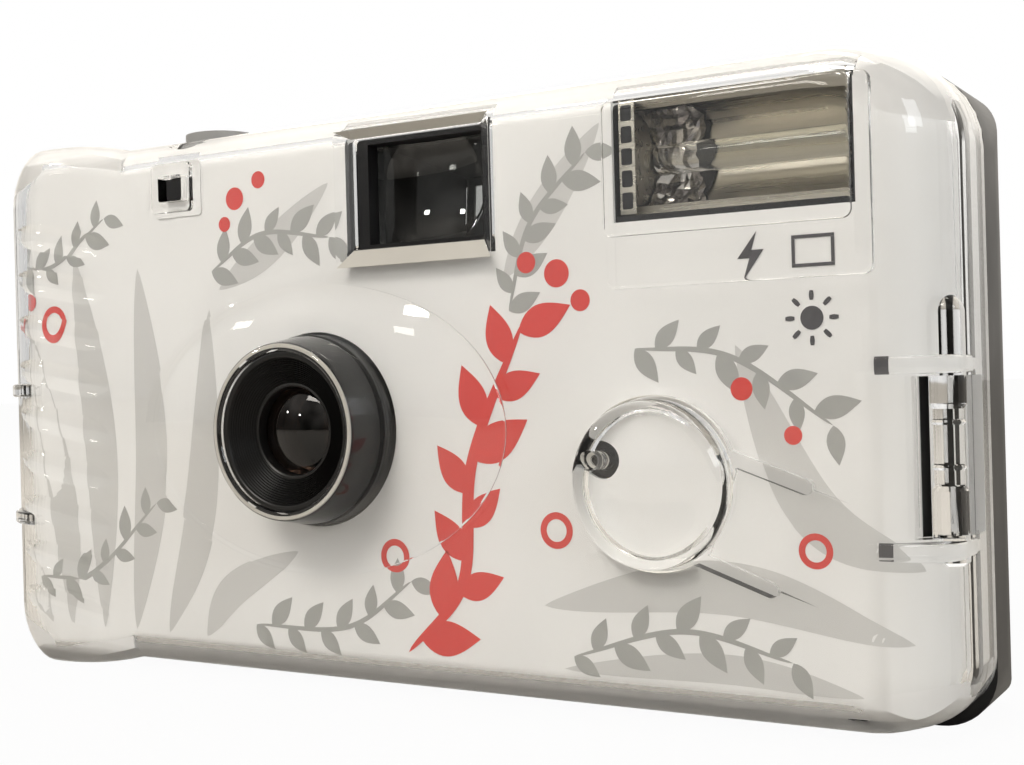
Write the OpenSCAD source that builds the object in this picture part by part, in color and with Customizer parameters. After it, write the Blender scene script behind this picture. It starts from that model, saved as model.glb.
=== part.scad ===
// Disposable film camera. Millimetres, +Z up, the lens looks along -Y, +X is the viewer's right.
// The origin is under the middle of the body, on the surface that the camera stands on.

/* [Body] */
// Width of the body
body_w = 116; // [112:1:124]
// Height of the front between its straight top and bottom edges
body_h = 57; // [56:0.5:62]
// How far the crowned grip stands above and below those edges
crown_rise = 1.5; // [1:0.25:2.5]
// Depth of the clear cover, from its front plane to the seam
front_depth = 13; // [12.5:0.25:15]
// Depth of the black cover, from the seam to its back
rear_depth = 18; // [17.5:0.25:20]
// Wall of both covers
wall = 1.4; // [1:0.1:1.8]
// Radius of the front's upright corners, seen from above
plan_r = 8; // [5:0.5:10]
// Radius of the grip's upright corner, seen from above
grip_r = 12.5; // [9:0.5:12.5]
// Radius of the black cover's upright corners, seen from above, at the plain end
rear_r = 14; // [8:0.5:14]
// The same at the grip
rear_grip_r = 10; // [6:0.5:10]
// Radius of the corners, seen from the front
face_r = 5; // [3:0.5:7]
// Radius of the upper corner at the plain end, seen from the front
top_end_r = 8; // [5:0.5:8]
// Radius of the edges along the top and bottom
edge_r = 2.5; // [1.5:0.25:4]
// Width of the crowned grip
grip_w = 25; // [20:1:30]
// Number of grip ridges
ridge_count = 9; // [5:1:11]

/* [Lens] */
// Lens axis, from the middle of the body
lens_x = -6.2; // [-9:0.1:-3]
// How far the turret stands out of the front plane
turret_len = 5; // [3:0.25:7]
// Radius of the turret at its rim
turret_r = 8.9; // [8.5:0.1:10]
// Half width of the raised dome round the turret
dome_a = 23; // [20:0.5:26]
// Half height of the raised dome
dome_b = 14.7; // [13:0.1:15]
// Height of the dome
dome_rise = 1.3; // [0.8:0.1:1.8]
// Width of the film gate
gate_w = 36; // [34:1:36]
// Height of the film gate
gate_h = 24; // [22:1:24]

/* [Windows] */
// Left edge of the viewfinder opening
finder_x = -1.9; // [-3:0.1:0]
// Width of the viewfinder opening
finder_w = 17.3; // [16:0.1:18]
// How far the viewfinder opening reaches below the film's upper edge
finder_lap = 0.5; // [0:0.1:1]
// Left edge of the flash panel
flash_x = 28; // [26:0.5:29]
// Width of the flash panel
flash_w = 24; // [23:0.5:25]
// Room between the film's upper edge and the flash reflector
flash_gap = 1.6; // [1.5:0.1:2]

/* [Controls] */
// Flash button, from the middle of the body
button_x = 31.9; // [31:0.1:33]
// Flash button, above the ground
button_z = 22; // [21:0.1:23]
// Radius of the flash button
button_r = 7.5; // [7:0.1:8]
// Length of its tongue, from the button's middle to the bend
tongue_len = 13; // [11:0.5:14]
// Slope of the tongue, downwards to the right
tongue_tilt = 20; // [10:1:25]
// Radius of the release button
release_r = 4; // [3:0.25:4.5]
// Radius of the thumbwheel
wheel_r = 13.9; // [13.5:0.1:14]

/* [Film] */
// Radius of the cartridge
cartridge_r = 12.3; // [12:0.1:12.4]
// Room for the thumbwheel and the counter, between the deck and the top
deck_room = 7.8; // [7.6:0.1:8.6]
// Width of the film
film_w = 35; // [34:0.5:35]
// Radius of the film roll on the supply spool
roll_r = 9.2; // [8:0.2:9.4]
// Length of the battery cell
cell_len = 44.5; // [43:0.5:44.5]
// Diameter of the battery cell
cell_d = 10.5; // [10:0.1:10.8]

/* [Hidden] */
$fn = 64;

// Clearances: between fixed pieces, between moving ones, and in a bearing
fit = 0.1;
run = 0.3;
bearing = 0.05;

// Frame of the body
front_y = -front_depth;
half_w = body_w / 2;
bottom_z = crown_rise;
top_z = crown_rise + body_h;
total_h = body_h + 2 * crown_rise;
grip_end = grip_w - half_w;
crown_r = (grip_w * grip_w / 4 + crown_rise * crown_rise) / (2 * crown_rise);
inner_top = top_z - wall;
turret_y = front_y - turret_len;
turret_base_r = turret_r + 0.7;
turret_wall = 1;

// Card and chassis lie one behind the other inside the front wall
card_t = 0.4;
card_deep = front_depth - 1;
card_inset = wall + 0.05;
chassis_inset = card_inset + card_t + 0.05;
plate_t = 0.8;
plate_y = front_y + chassis_inset;
plate_back = plate_y + plate_t;
floor_t = 0.7;
floor_z = bottom_z + chassis_inset;
floor_top = floor_z + floor_t;

// The cartridge fills the room between the floor and the deck, and the lens looks at its middle
cart_gap = 0.8;
cart_z = floor_top + cart_gap + 0.6;
deck_z = inner_top - deck_room;
cartridge_h = deck_z - cart_gap - cart_z;
lens_z = cart_z + cartridge_h / 2;

// Film path
film_t = 0.15;
film_y = rear_depth - 3.15;
track_t = 0.6;
track_y = film_y - 0.05 - track_t;
film_z = lens_z - film_w / 2;
film_top = film_z + film_w;
cart_x = wheel_r - half_w + wall + 0.9;
cart_y = rear_depth - wall - 0.3 - cartridge_r;
chamber_r = cartridge_r + 0.6;
chamber_t = 0.7;
supply_r = roll_r + 1;
supply_t = 1;
supply_x = lens_x + gate_w / 2 + 8.5 + supply_r + supply_t;
supply_y = 4.6;

// Mechanism deck above the cartridge
deck_t = 1;
deck_top = deck_z + deck_t;
deck_left = -half_w + wall + 2.6;
deck_right = finder_x - 2.6;
wheel_z = deck_top + 0.7;
wheel_t = 4;
spool_stub_r = 4.1;
spool_bore_r = 2.7;

// Sprocket and counter
sprocket_r = 5.9;
sprocket_teeth = 8;
sprocket_t = 1.8;
sprocket_x = cart_x + cartridge_r + sprocket_r + 0.8;
sprocket_y = track_y - sprocket_r + 0.5;
sprocket_z = film_top - 3.1;
shaft_r = 1.5;
counter_r = 8.2;
counter_finger = 1.75;
counter_x = deck_right - counter_r + 0.1;
counter_y = sprocket_y - sqrt(pow(counter_r + counter_finger + run, 2) - pow(counter_x - sprocket_x, 2));
counter_z = wheel_z + 2.9;
counter_t = 0.8;
peg_r = 1;

// Light box and shutter
shutter_y = plate_back + 4;
shutter_t = 1;
box_steps = 4;
box_wall = 1.1;
box_y = shutter_y + shutter_t;
box_depth = track_y - box_y;
throat_w = 5;
throat_h = 4;
blade_y = shutter_y - 1.4;
blade_t = 0.3;
blade_x = lens_x - 8;
blade_z = lens_z + 14.5;
blade_reach = norm([lens_x - blade_x, lens_z - blade_z]);
blade_angle = atan2(lens_z - blade_z, lens_x - blade_x);
tail_w = 1.6;
striker_x = blade_x - 3.3;
striker_y = box_y + 3.8;
striker_z = deck_top + 0.7;
striker_t = 1.4;
striker_arm = striker_y - plate_back - run;
striker_lean = 8.6;

// Lens group
hood_gap = 0.15;
hood_front = turret_y + 0.5;
hood_back = plate_back + 1.8;
hood_wall = 1;
hood_r = turret_base_r - turret_wall - hood_gap;
hood_front_r = turret_r - turret_wall - hood_gap;
mouth_r = hood_front_r - 0.7;
seat_r = 3.6;
seat_y = plate_y - 0.6;
lens_t = 1.8;
hood_steps = 9;
iris_r = 1.6;

// Windows
finder_top = inner_top - 0.1;
finder_z = film_top - finder_lap;
finder_h = finder_top - finder_z;
collar_t = 1;
tunnel_w = finder_w - 2 * collar_t - 1.8;
tunnel_x = finder_x + (finder_w - tunnel_w) / 2;
tunnel_z = finder_z + 1.5;
tunnel_h = finder_h - 2.9;
tunnel_t = 1;
tunnel_back = rear_depth - wall - 0.9;
mirror_top = inner_top - 1;
mirror_r = (mirror_top - film_top - flash_gap) / 2;
mirror_z = mirror_top - mirror_r;
flash_h = 2 * mirror_r + 1;
panel_low = lens_z + 12.3;
panel_mid = inner_top - flash_h - 2.2;
panel_rise = 0.5;
mirror_l = flash_w - 4;
mirror_x = flash_x + 1.3;
mirror_y = plate_y + 2.6;
tube_r = 1.4;

// Flash button and its contact
slot_w = 1.3;
slot_off = 4.65;
tongue_half = slot_off - slot_w / 2;
button_gap = 0.35;
button_rise = 2;
button_t = 1.2;
pin_u = -button_r + 1.3;
pin_r = 0.9;
pin_x = button_x + pin_u * cos(tongue_tilt);
pin_z = button_z - pin_u * sin(tongue_tilt);
pin_hole = pin_r + 0.9;
contact_y = plate_back + 0.4;
contact_t = 0.2;
contact_len = 10;

// Circuit board side
board_y = plate_back + 2.3;
board_t = 1.2;
board_x = lens_x + gate_w / 2 + 9.7;
board_right = half_w - 5;
board_top = mirror_z - mirror_r - 3.5;
cap_gap = 0.5;
cap_right = half_w - wall - 2 * cap_gap;
cap_r = (cap_right - cap_gap - supply_x - supply_r - supply_t) / 2;
cap_x = cap_right - cap_r;
cap_y = 5.5;
cap_len = 32;

// Battery under the light box
cell_y = plate_back + 0.75 + cell_d / 2;
cell_z = floor_top + 0.2 + cell_d / 2;
cell_right = supply_x - supply_r - supply_t - 1;
cell_left = cell_right - cell_len;
contact_plate = 0.4;

// Release button on the clear top
release_x = grip_end + 8.5;
release_y = front_y + 8;
release_travel = 1.3;
stem_r = 1.5;

// End latches: two flanges with a half-round column between them
flange_t = 1.5;
flange_low = lens_z - 11;
flange_high = lens_z + 4.1;
flange_r = 3.5;
flange_grip_r = grip_r - 1.5;
flange_reach = 10;
column_r = 1.5;
column_top = flange_high + 5;
column_in = [1.5, 4.5];
column_grip_in = [2.8, 6.5];
slot_reach = 2.1;
slot_deep = 10;
catch_t = 0.8;
catch_in = wall + 0.6;
ridge_rise = 0.45;
ridge_w = 1.5;
ridge_tilt = 10;
snap_w = 3.4;
snap_h = 2.8;
snap_z = top_z - 6.7;

// Openings of the rear cover: thumbwheel, ready lamp, counter, thumb rest
wheel_scoop = 2.2;
lamp_r = 1.8;
lamp_x = tunnel_x + tunnel_w + 6.5;
lamp_z = tunnel_z + tunnel_h / 2;
window_x = counter_x;
window_y = counter_y + counter_r - 4.6;
window_r = 2.6;
rest_w = 17;
rest_h = 16;
rest_deep = 0.5;
rest_ribs = 5;
rest_top = wheel_z - 5;

// Drawing helpers: boxes and cylinders by their limits, and outlines drawn along each axis
module box(a, b) translate(a) cube(b - a);
module cyl_y(x, z, r, y0, y1) translate([x, y1, z]) rotate([90, 0, 0]) cylinder(r = r, h = y1 - y0);
module cyl_x(y, z, r, x0, x1) translate([x0, y, z]) rotate([0, 90, 0]) cylinder(r = r, h = x1 - x0);
module cyl_z(x, y, r, z0, z1) translate([x, y, z0]) cylinder(r = r, h = z1 - z0);
module ring_z(x, y, r_out, r_in, z0, z1) difference() {
    cyl_z(x, y, r_out, z0, z1);
    cyl_z(x, y, r_in, z0 - 1, z1 + 1);
}
module along_y(y0, y1) translate([0, y1, 0]) rotate([90, 0, 0]) linear_extrude(y1 - y0) children();
module along_x(x0, x1) translate([x0, 0, 0]) rotate([90, 0, 90]) linear_extrude(x1 - x0) children();
module along_z(z0, z1) translate([0, 0, z0]) linear_extrude(z1 - z0) children();
module about_lens(y) translate([lens_x, y, lens_z]) rotate([-90, 0, 0]) rotate_extrude() children();

// Rectangle between two corners with round corners
module round_rect(a, b, r) {
    translate([a.x + r, a.y]) square([b.x - a.x - 2 * r, b.y - a.y]);
    translate([a.x, a.y + r]) square([b.x - a.x, b.y - a.y - 2 * r]);
    for (x = [a.x + r, b.x - r], y = [a.y + r, b.y - r]) translate([x, y]) circle(r);
}

// The arc that raises the grip's upper edge, above level z
module crown_outline(z, inset) intersection() {
    translate([grip_end - grip_w / 2, z + crown_rise - crown_r]) circle(crown_r - inset, $fn = 200);
    round_rect([inset - half_w, z - 12], [half_w, z + crown_rise], face_r - inset);
    translate([-half_w, z - 12]) square([grip_w, 12 + crown_rise]);
}

// Solid inside the front cover's outer skin, drawn in by inset
module front_block(inset, back = 0) {
    intersection() {
        along_z(-1, total_h + 1) plan_outline(inset, back);
        box([-half_w, front_y, -1], [half_w, back, total_h + 1]);
        union() {
            front_bar(inset, bottom_z, top_z, back) face_outline(inset, bottom_z + inset);
            front_bar(inset, 0, total_h, back) {
                crown_outline(top_z, inset);
                translate([0, total_h]) mirror([0, 1]) crown_outline(top_z, inset);
            }
        }
    }
}

// Both covers seen from the front: the upper corner at the plain end is the roundest
module face_outline(inset, low) intersection() {
    round_rect([inset - half_w, low], [half_w - inset, top_z - inset], face_r - inset);
    round_rect([-2 * body_w, -2 * body_h], [half_w - inset, top_z - inset], top_end_r - inset);
}

// The front cover seen from above: one corner radius at the grip, a smaller one at the other end
module plan_outline(inset, back) for (end = [[plan_r, 0], [grip_r, -half_w - 1]]) intersection() {
    round_rect([inset - half_w, front_y + inset], [half_w - inset, back + 2 * end[0]], end[0] - inset);
    translate([end[1], front_y - 1]) square([half_w + 1, 8 * plan_r]);
}

// A front outline drawn back to the seam with its long edges rounded
module front_bar(inset, low, high, back) intersection() {
    along_y(front_y + inset, back) children();
    along_x(-half_w, half_w)
        round_rect([front_y + inset, low + inset], [back + 2 * edge_r, high - inset], edge_r - inset * 0.6);
}

// Solid inside the rear cover's outer skin, drawn in by inset
module rear_block(inset, from = 0) intersection() {
    union() {
        rear_bar(inset, top_z, from) face_outline(inset, inset);
        rear_bar(inset, total_h, from) crown_outline(top_z, inset);
    }
    along_z(-1, total_h + 1) for (end = [[rear_r, 0], [rear_grip_r, -half_w - 1]]) intersection() {
        round_rect([inset - half_w, -4 * rear_r], [half_w - inset, rear_depth - inset], end[0] - inset / 2);
        translate([end[1], -4 * rear_r]) square([half_w + 1, 8 * rear_r]);
    }
}

// A back outline drawn from the seam with its long edges rounded
module rear_bar(inset, high, from) intersection() {
    along_y(from, rear_depth - inset) children();
    along_x(-half_w, half_w)
        round_rect([from - 2 * edge_r, inset], [rear_depth - inset, high - inset], edge_r - inset * 0.6);
}

// Dome outline: a barrel turned about a line behind the front plane, cut off by that plane
module dome(drop) {
    behind = (dome_b * dome_b / dome_rise - dome_rise) / 2;
    barrel_r = dome_a * dome_a / (2 * dome_rise);
    intersection() {
        translate([lens_x, front_y + drop + behind, lens_z]) rotate([0, 90, 0]) rotate_extrude($fn = 200)
            intersection() {
                translate([behind + dome_rise - barrel_r, 0]) circle(barrel_r, $fn = 400);
                translate([behind - 1, -dome_a - 1]) square([dome_rise + 2, 2 * dome_a + 2]);
            }
        box([lens_x - dome_a, front_y - dome_rise, lens_z - dome_b],
            [lens_x + dome_a, front_y + wall + drop, lens_z + dome_b]);
    }
}

// Places a drawing on the tongue: x along it from the button's middle to the bend, y across it
module on_tongue(y0, y1) along_y(y0, y1)
    translate([button_x, button_z]) rotate(-tongue_tilt) children();
module tongue_outline(r, half, end) {
    circle(r);
    translate([0, -half]) square([end, 2 * half]);
}

// End latches, drawn for the right-hand end and mirrored to the grip: two flanges on the open corner
// of the cover, with a round column standing between and above them
module both_ends() for (side = [0, 1]) mirror([side, 0, 0]) children();
module end_latch(r, column) {
    for (z = [flange_low, flange_high]) intersection() {
        along_z(z, z + flange_t) round_rect([half_w - 3 * r, front_y], [half_w, 2 * r], r);
        box([half_w - flange_reach, front_y, z], [half_w, -1, z + flange_t]);
    }
    latch_column(column, flange_low, column_top);
    translate([half_w - column.x, front_y + column.y, column_top]) sphere(column_r);
}
module latch_column(column, z0, z1) cyl_z(half_w - column.x, front_y + column.y, column_r, z0, z1);
module latch_slot(column) difference() {
    box([half_w - column.x - slot_reach, front_y - 1, flange_low + flange_t + 0.2],
        [half_w + 1, front_y + slot_deep, flange_high - 0.2]);
    latch_column(column, 0, total_h);
}
module end_latches() {
    end_latch(flange_r, column_in);
    mirror([1, 0, 0]) end_latch(flange_grip_r, column_grip_in);
}
module latch_slots() {
    latch_slot(column_in);
    mirror([1, 0, 0]) latch_slot(column_grip_in);
}

// Slanting ridges that follow the grip round its corner
module grip_ridges() intersection() {
    pitch = (body_h - 15) / (ridge_count - 1);
    along_z(0, total_h) plan_outline(-ridge_rise, 0);
    box([-half_w, front_y - 1, bottom_z + 4], [grip_end, front_y + slot_deep, top_z - 7]);
    for (i = [0:ridge_count - 1]) translate([-half_w, front_y - 1, bottom_z + 9 + i * pitch])
        rotate([0, ridge_tilt, 0]) cube([grip_w + 2, slot_deep + 1, ridge_w]);
}

module front_cover() color([0.9, 0.93, 0.95, 0.35]) {
    difference() {
        union() {
            difference() {
                union() {
                    front_block(0);
                    dome(0);
                    grip_ridges();
                    end_latches();
                    flash_panel();
                    snap_pad();
                }
                front_block(wall, 1);
                intersection() {
                    dome(wall);
                    box([-half_w, front_y - 5, 0], [half_w, front_y + wall + 1, total_h]);
                }
            }
            turret_skin();
            finder_collar();
        }
        turret_bore();
        box([finder_x + collar_t, front_y - 2, finder_z + collar_t],
            [finder_x + finder_w - collar_t, plate_y, finder_top - collar_t]);
        on_tongue(front_y - 3, front_y + wall + 1) {
            tongue_outline(button_r + button_gap, tongue_half + slot_w, tongue_len);
            for (v = [-slot_off, slot_off]) translate([tongue_len, v]) circle(slot_w / 2);
        }
        latch_slots();
        box([release_x - snap_w / 2, front_y - 2, snap_z],
            [release_x + snap_w / 2, front_y + wall + 1, snap_z + snap_h]);
        cyl_z(release_x, release_y, release_r + 0.15, inner_top - 2, total_h);
    }
}
module flash_panel() {
    along_y(front_y - panel_rise, front_y)
        round_rect([flash_x, panel_low], [flash_x + flash_w, top_z - edge_r], 0.8);
    along_y(front_y - 2 * panel_rise, front_y)
        round_rect([flash_x, panel_mid], [flash_x + flash_w - 1.5, top_z - edge_r], 0.8);
}
module snap_pad() along_y(front_y - panel_rise, front_y)
    round_rect([release_x - snap_w / 2 - 1.2, snap_z - 1.2], [release_x + snap_w / 2 + 1.2, top_z - edge_r], 0.6);
module turret_skin() about_lens(turret_y) polygon([[0, 0], [turret_r, 0], [turret_base_r, turret_len],
    [turret_base_r, turret_len + wall], [0, turret_len + wall]]);
module turret_bore() about_lens(turret_y - 1) polygon([[0, 0], [turret_r - turret_wall, 0],
    [turret_r - turret_wall, 1], [turret_base_r - turret_wall, turret_len + 1],
    [turret_base_r - turret_wall, turret_len + 4], [0, turret_len + 4]]);
module finder_collar() along_y(front_y, plate_y - 0.1)
    round_rect([finder_x, finder_z], [finder_x + finder_w, finder_top], 0.8);

module flash_button() color([0.9, 0.93, 0.95, 0.35]) {
    rise_y = front_y - button_rise;
    skirt = button_rise + 0.25;
    tongue_t = 0.6;
    translate([button_x, rise_y, button_z]) rotate([-90, 0, 0]) rotate_extrude()
        polygon([[0, 0.5], [button_r - 2.2, 0], [button_r - 0.8, 0], [button_r, 0.8], [button_r, skirt],
            [button_r - 1, skirt], [button_r - 1, button_t], [0, button_t]]);
    on_tongue(front_y, front_y + tongue_t) difference() {
        translate([0, -tongue_half]) square([tongue_len - 0.15, 2 * tongue_half]);
        circle(button_r - 0.5);
    }
    difference() {
        cyl_y(pin_x, pin_z, pin_r, rise_y + button_t - 0.2, contact_y - run);
        cyl_y(pin_x, pin_z, 0.4, contact_y - 2, contact_y);
    }
}

// One sheet, folded back along all four edges
module label_card() color("white") difference() {
    intersection() {
        difference() {
            front_block(card_inset);
            front_block(card_inset + card_t, 1);
        }
        box([-half_w, front_y, 0], [half_w, front_y + card_deep, total_h]);
    }
    cyl_y(lens_x, lens_z, turret_base_r + 0.3, front_y, 0);
    box([finder_x - 0.3, front_y, finder_z - 0.3], [finder_x + finder_w + 0.3, plate_back + 0.5, total_h]);
    box([flash_x + 0.4, front_y, mirror_z - mirror_r - 0.8], [flash_x + flash_w - 1.6, plate_back + 0.5, total_h]);
    box([release_x - 3, front_y, snap_z - 1], [release_x + 3, plate_y + 0.2, total_h]);
    cyl_z(release_x, release_y, release_r + 1.3, inner_top - 5, total_h);
    cyl_y(pin_x, pin_z, pin_hole, front_y, 0);
    latch_slots();
    box([-half_w, front_y, flange_low], [half_w * -1 + 6, 0, flange_high + 1]);
}

module rear_cover() color([0.06, 0.06, 0.065]) difference() {
    union() {
        difference() {
            intersection() {
                rear_block(0);
                box([-half_w, 0.05, 0], [half_w, rear_depth, total_h]);
            }
            intersection() {
                rear_block(wall, -1);
                box([-half_w, -1, wall], [half_w, rear_depth, total_h]);
            }
        }
        both_ends() side_catch();
        platen();
        lamp_boss();
        wheel_shroud();
    }
    wheel_slot();
    thumb_rest();
    box([tunnel_x + 1.5, rear_depth - 4, tunnel_z + 1.5],
        [tunnel_x + tunnel_w - 1.5, rear_depth + 1, tunnel_z + tunnel_h - 1.5]);
    cyl_y(lamp_x, lamp_z, lamp_r + bearing, film_y - 6, rear_depth + 1);
    cyl_z(window_x, window_y, window_r + bearing, inner_top - 3, total_h);
}
module side_catch() {
    low = flange_low + flange_t + 0.4;
    high = flange_high - 0.4;
    box([half_w - catch_in - catch_t, -4.6, low], [half_w - catch_in, 1, high]);
    box([half_w - catch_in - catch_t, 0.05, low], [half_w - 0.5, 1.5, high]);
}
module platen() box([lens_x - gate_w / 2 - 3, film_y + film_t + 0.3, film_z],
    [lens_x + gate_w / 2 + 3, rear_depth - wall + 0.1, film_top]);
module wheel_shroud() intersection() {
    box([cart_x - wheel_r - 1, rear_depth - wheel_scoop - wall, wheel_z - wall - 1],
        [cart_x + wheel_r + 1, rear_depth - wall + 0.1, wheel_z + wheel_t + 1.1]);
    rear_block(0.2);
}
module wheel_slot() {
    cyl_z(cart_x, cart_y, wheel_r + 0.5, wheel_z - 0.5, wheel_z + wheel_t + 0.5);
    along_z(wheel_z - 0.7, wheel_z + wheel_t + 0.7)
        translate([cart_x, rear_depth + 16]) circle(16 + wheel_scoop);
}
// A shallow recess under the thumbwheel, with ribs left standing in it
module thumb_rest() difference() {
    along_y(rear_depth - rest_deep, rear_depth + 1)
        round_rect([cart_x - rest_w / 2, rest_top - rest_h], [cart_x + rest_w / 2, rest_top], 3);
    for (i = [1:rest_ribs]) {
        z = rest_top - rest_h + i * rest_h / (rest_ribs + 1);
        box([cart_x - rest_w, rear_depth - 1, z - 0.5], [cart_x + rest_w, rear_depth + 2, z + 0.5]);
    }
}
module lamp_boss() cyl_y(lamp_x, lamp_z, lamp_r + 1, film_y - 4, rear_depth - wall + 0.1);

module chassis() color([0.07, 0.07, 0.075]) difference() {
    union() {
        intersection() {
            front_block(chassis_inset);
            box([-half_w, plate_y, floor_z], [half_w, plate_back, total_h]);
        }
        intersection() {
            cover_room();
            box([-half_w, plate_y, floor_z], [half_w, track_y + track_t, floor_top]);
        }
        intersection() {
            union() {
                cyl_z(cart_x, cart_y, chamber_r + chamber_t, floor_z, deck_z);
                cyl_z(supply_x, supply_y, supply_r + supply_t, floor_z, film_top + 1.5);
            }
            cover_room();
        }
        light_box();
        shutter_wall();
        finder_tunnel();
        for (x = [cell_left - 2, cell_right + 1.1])
            box([x, plate_back - 0.1, floor_top - 0.1], [x + 0.8, cell_y + 3, cell_z + cell_d / 2]);
        box([board_x + 4, plate_back - 0.1, floor_top - 0.1],
            [board_right - 4, board_y + board_t + 1, floor_top + 0.9]);
        snap_catch();
        latch_screen();
    }
    cyl_z(cart_x, cart_y, chamber_r, floor_top, deck_z + 1);
    cyl_z(supply_x, supply_y, supply_r, floor_top, total_h);
    chamber_mouths();
    cyl_y(lens_x, lens_z, hood_r + 1.4 + fit, front_y, plate_back + 0.1);
    box([tunnel_x, front_y, tunnel_z], [tunnel_x + tunnel_w, rear_depth, tunnel_z + tunnel_h]);
    box([finder_x - 0.2, front_y, finder_z - 0.2], [finder_x + finder_w + 0.2, plate_back - 0.3, total_h]);
    box([mirror_x - 0.8, front_y, mirror_z - mirror_r - 0.2], [mirror_x + mirror_l + 0.8, plate_back + 0.1, total_h]);
    cyl_y(pin_x, pin_z, pin_hole, front_y, plate_back + 0.1);
    box([board_x - 0.15, board_y - fit / 2, floor_top], [board_right + 0.15, board_y + board_t + fit / 2, total_h]);
    cyl_z(sprocket_x, sprocket_y, sprocket_r + run, sprocket_z - run, sprocket_z + sprocket_t + run);
}
// A wall behind the open end latch that keeps the circuit out of sight
module latch_screen() {
    x = half_w - column_in.x - slot_reach;
    intersection() {
        front_block(chassis_inset);
        union() {
            box([x - 0.9, plate_y, flange_low - 2], [x - 0.1, -1, flange_high + 4]);
            box([x - 4.5, plate_back - 0.1, flange_low - 2], [x - 0.1, plate_back + 0.8, flange_high + 4]);
        }
    }
}
// The room that both covers leave for the chassis
module cover_room() {
    front_block(chassis_inset);
    rear_block(wall + 0.4);
}
// Both chambers open backwards to the film path
module chamber_mouths() {
    box([cart_x - chamber_r - 2, track_y - 1.8, floor_top], [cart_x + chamber_r + 2, rear_depth, total_h]);
    box([supply_x - supply_r + 2, track_y - 3, floor_top], [supply_x + supply_r + 3, rear_depth, total_h]);
    box([cart_x, film_y - 2.4, film_z - 0.5], [lens_x - gate_w / 2 - 3, rear_depth, film_top + 0.5]);
}
// Stepped baffles that widen from the lens to the gate, then the film track round the gate
module light_box() difference() {
    union() {
        for (i = [0:box_steps - 1]) baffle(i, box_wall, 0);
        box([lens_x - gate_w / 2 - 2.4, track_y, film_z - 0.5],
            [supply_x - supply_r, track_y + track_t, film_top + 0.5]);
    }
    for (i = [0:box_steps - 1]) baffle(i, 0, box_wall);
    box([lens_x - gate_w / 2, track_y - 1, lens_z - gate_h / 2], [lens_x + gate_w / 2, film_y, lens_z + gate_h / 2]);
    cyl_y(lens_x, lens_z, throat_h - 0.6, shutter_y, box_y + 2 * box_wall);
}
// One step of the light box, or its hollow shifted back so that a ledge stays in front of it
module baffle(i, grow, shift) {
    share = (i + 1) / box_steps;
    w = throat_w + (gate_w / 2 - throat_w) * share + grow;
    h = throat_h + (gate_h / 2 - throat_h) * share + grow;
    box([lens_x - w, box_y + box_depth * i / box_steps + shift, lens_z - h],
        [lens_x + w, box_y + box_depth * share + shift, lens_z + h]);
}
module shutter_wall() {
    difference() {
        box([blade_x - 5, shutter_y, lens_z - 9], [lens_x + 10, box_y + 0.1, deck_z]);
        cyl_y(lens_x, lens_z, throat_h - 0.6, shutter_y - 1, box_y + 1);
    }
    cyl_y(blade_x, blade_z, peg_r, blade_y - 1.6, shutter_y + 0.1);
    cyl_y(blade_x, blade_z, peg_r + 1, blade_y + blade_t + fit, shutter_y + 0.1);
    for (x = [blade_x - 4, lens_x + 8]) box([x, plate_y, lens_z + 10.5], [x + 1, shutter_y + 0.1, lens_z + 12]);
}
module finder_tunnel() box([tunnel_x - tunnel_t, plate_y, tunnel_z - tunnel_t],
    [tunnel_x + tunnel_w + tunnel_t, tunnel_back, tunnel_z + tunnel_h + tunnel_t]);
module snap_catch() box([release_x - snap_w / 2 + 0.4, front_y + 0.4, snap_z + 0.3],
    [release_x + snap_w / 2 - 0.4, plate_y + 0.1, snap_z + snap_h - 0.3]);

module mechanism_deck() color([0.1, 0.1, 0.11]) difference() {
    union() {
        intersection() {
            box([deck_left, box_y + 0.2, deck_z], [deck_right, track_y, deck_top]);
            cover_room();
        }
        box([release_x - 3.5, release_y - 3.5, deck_z], [release_x + 3.5, box_y + 1, deck_top]);
        cyl_z(striker_x, striker_y, peg_r, deck_z, striker_z + striker_t + 2);
        cyl_z(counter_x, counter_y, peg_r, deck_z, counter_z + counter_t);
        cyl_z(deck_right - 2, box_y + 2.2, 1.6, deck_top - 0.1, inner_top - 0.6);
    }
    cyl_z(cart_x, cart_y, spool_stub_r + bearing, deck_z - 1, deck_top + 1);
    cyl_z(sprocket_x, sprocket_y, shaft_r + bearing, deck_z - 1, deck_top + 1);
    box([blade_x - 3, front_y, deck_z - 1], [blade_x + 6, shutter_y, deck_top + 1]);
}

module lens_hood() color([0.05, 0.05, 0.05]) difference() {
    union() {
        about_lens(hood_front) polygon([[0, 0], [hood_front_r, 0], [hood_r, plate_y - hood_front],
            [0, plate_y - hood_front]]);
        cyl_y(lens_x, lens_z, hood_r + 1.4, plate_y, plate_back);
        cyl_y(lens_x, lens_z, seat_r + hood_wall, plate_back - 0.1, hood_back);
    }
    about_lens(hood_front) polygon(concat([[0, -1], [mouth_r, -1]], hood_profile(),
        [[seat_r - 0.9, seat_y - hood_front], [0, seat_y - hood_front]]));
    cyl_y(lens_x, lens_z, seat_r, seat_y, hood_back + 1);
    cyl_y(lens_x, lens_z, seat_r - 0.9, seat_y - 1, hood_back);
}
// Fine steps down the mouth of the hood, each a narrow ledge and a short wall
function hood_profile() = [for (i = [0:hood_steps - 1], k = [0, 1])
    [mouth_r - (mouth_r - seat_r + 0.9) * (i + k) / hood_steps, (seat_y - hood_front - 0.2) * (i + 1) / hood_steps]];

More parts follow.
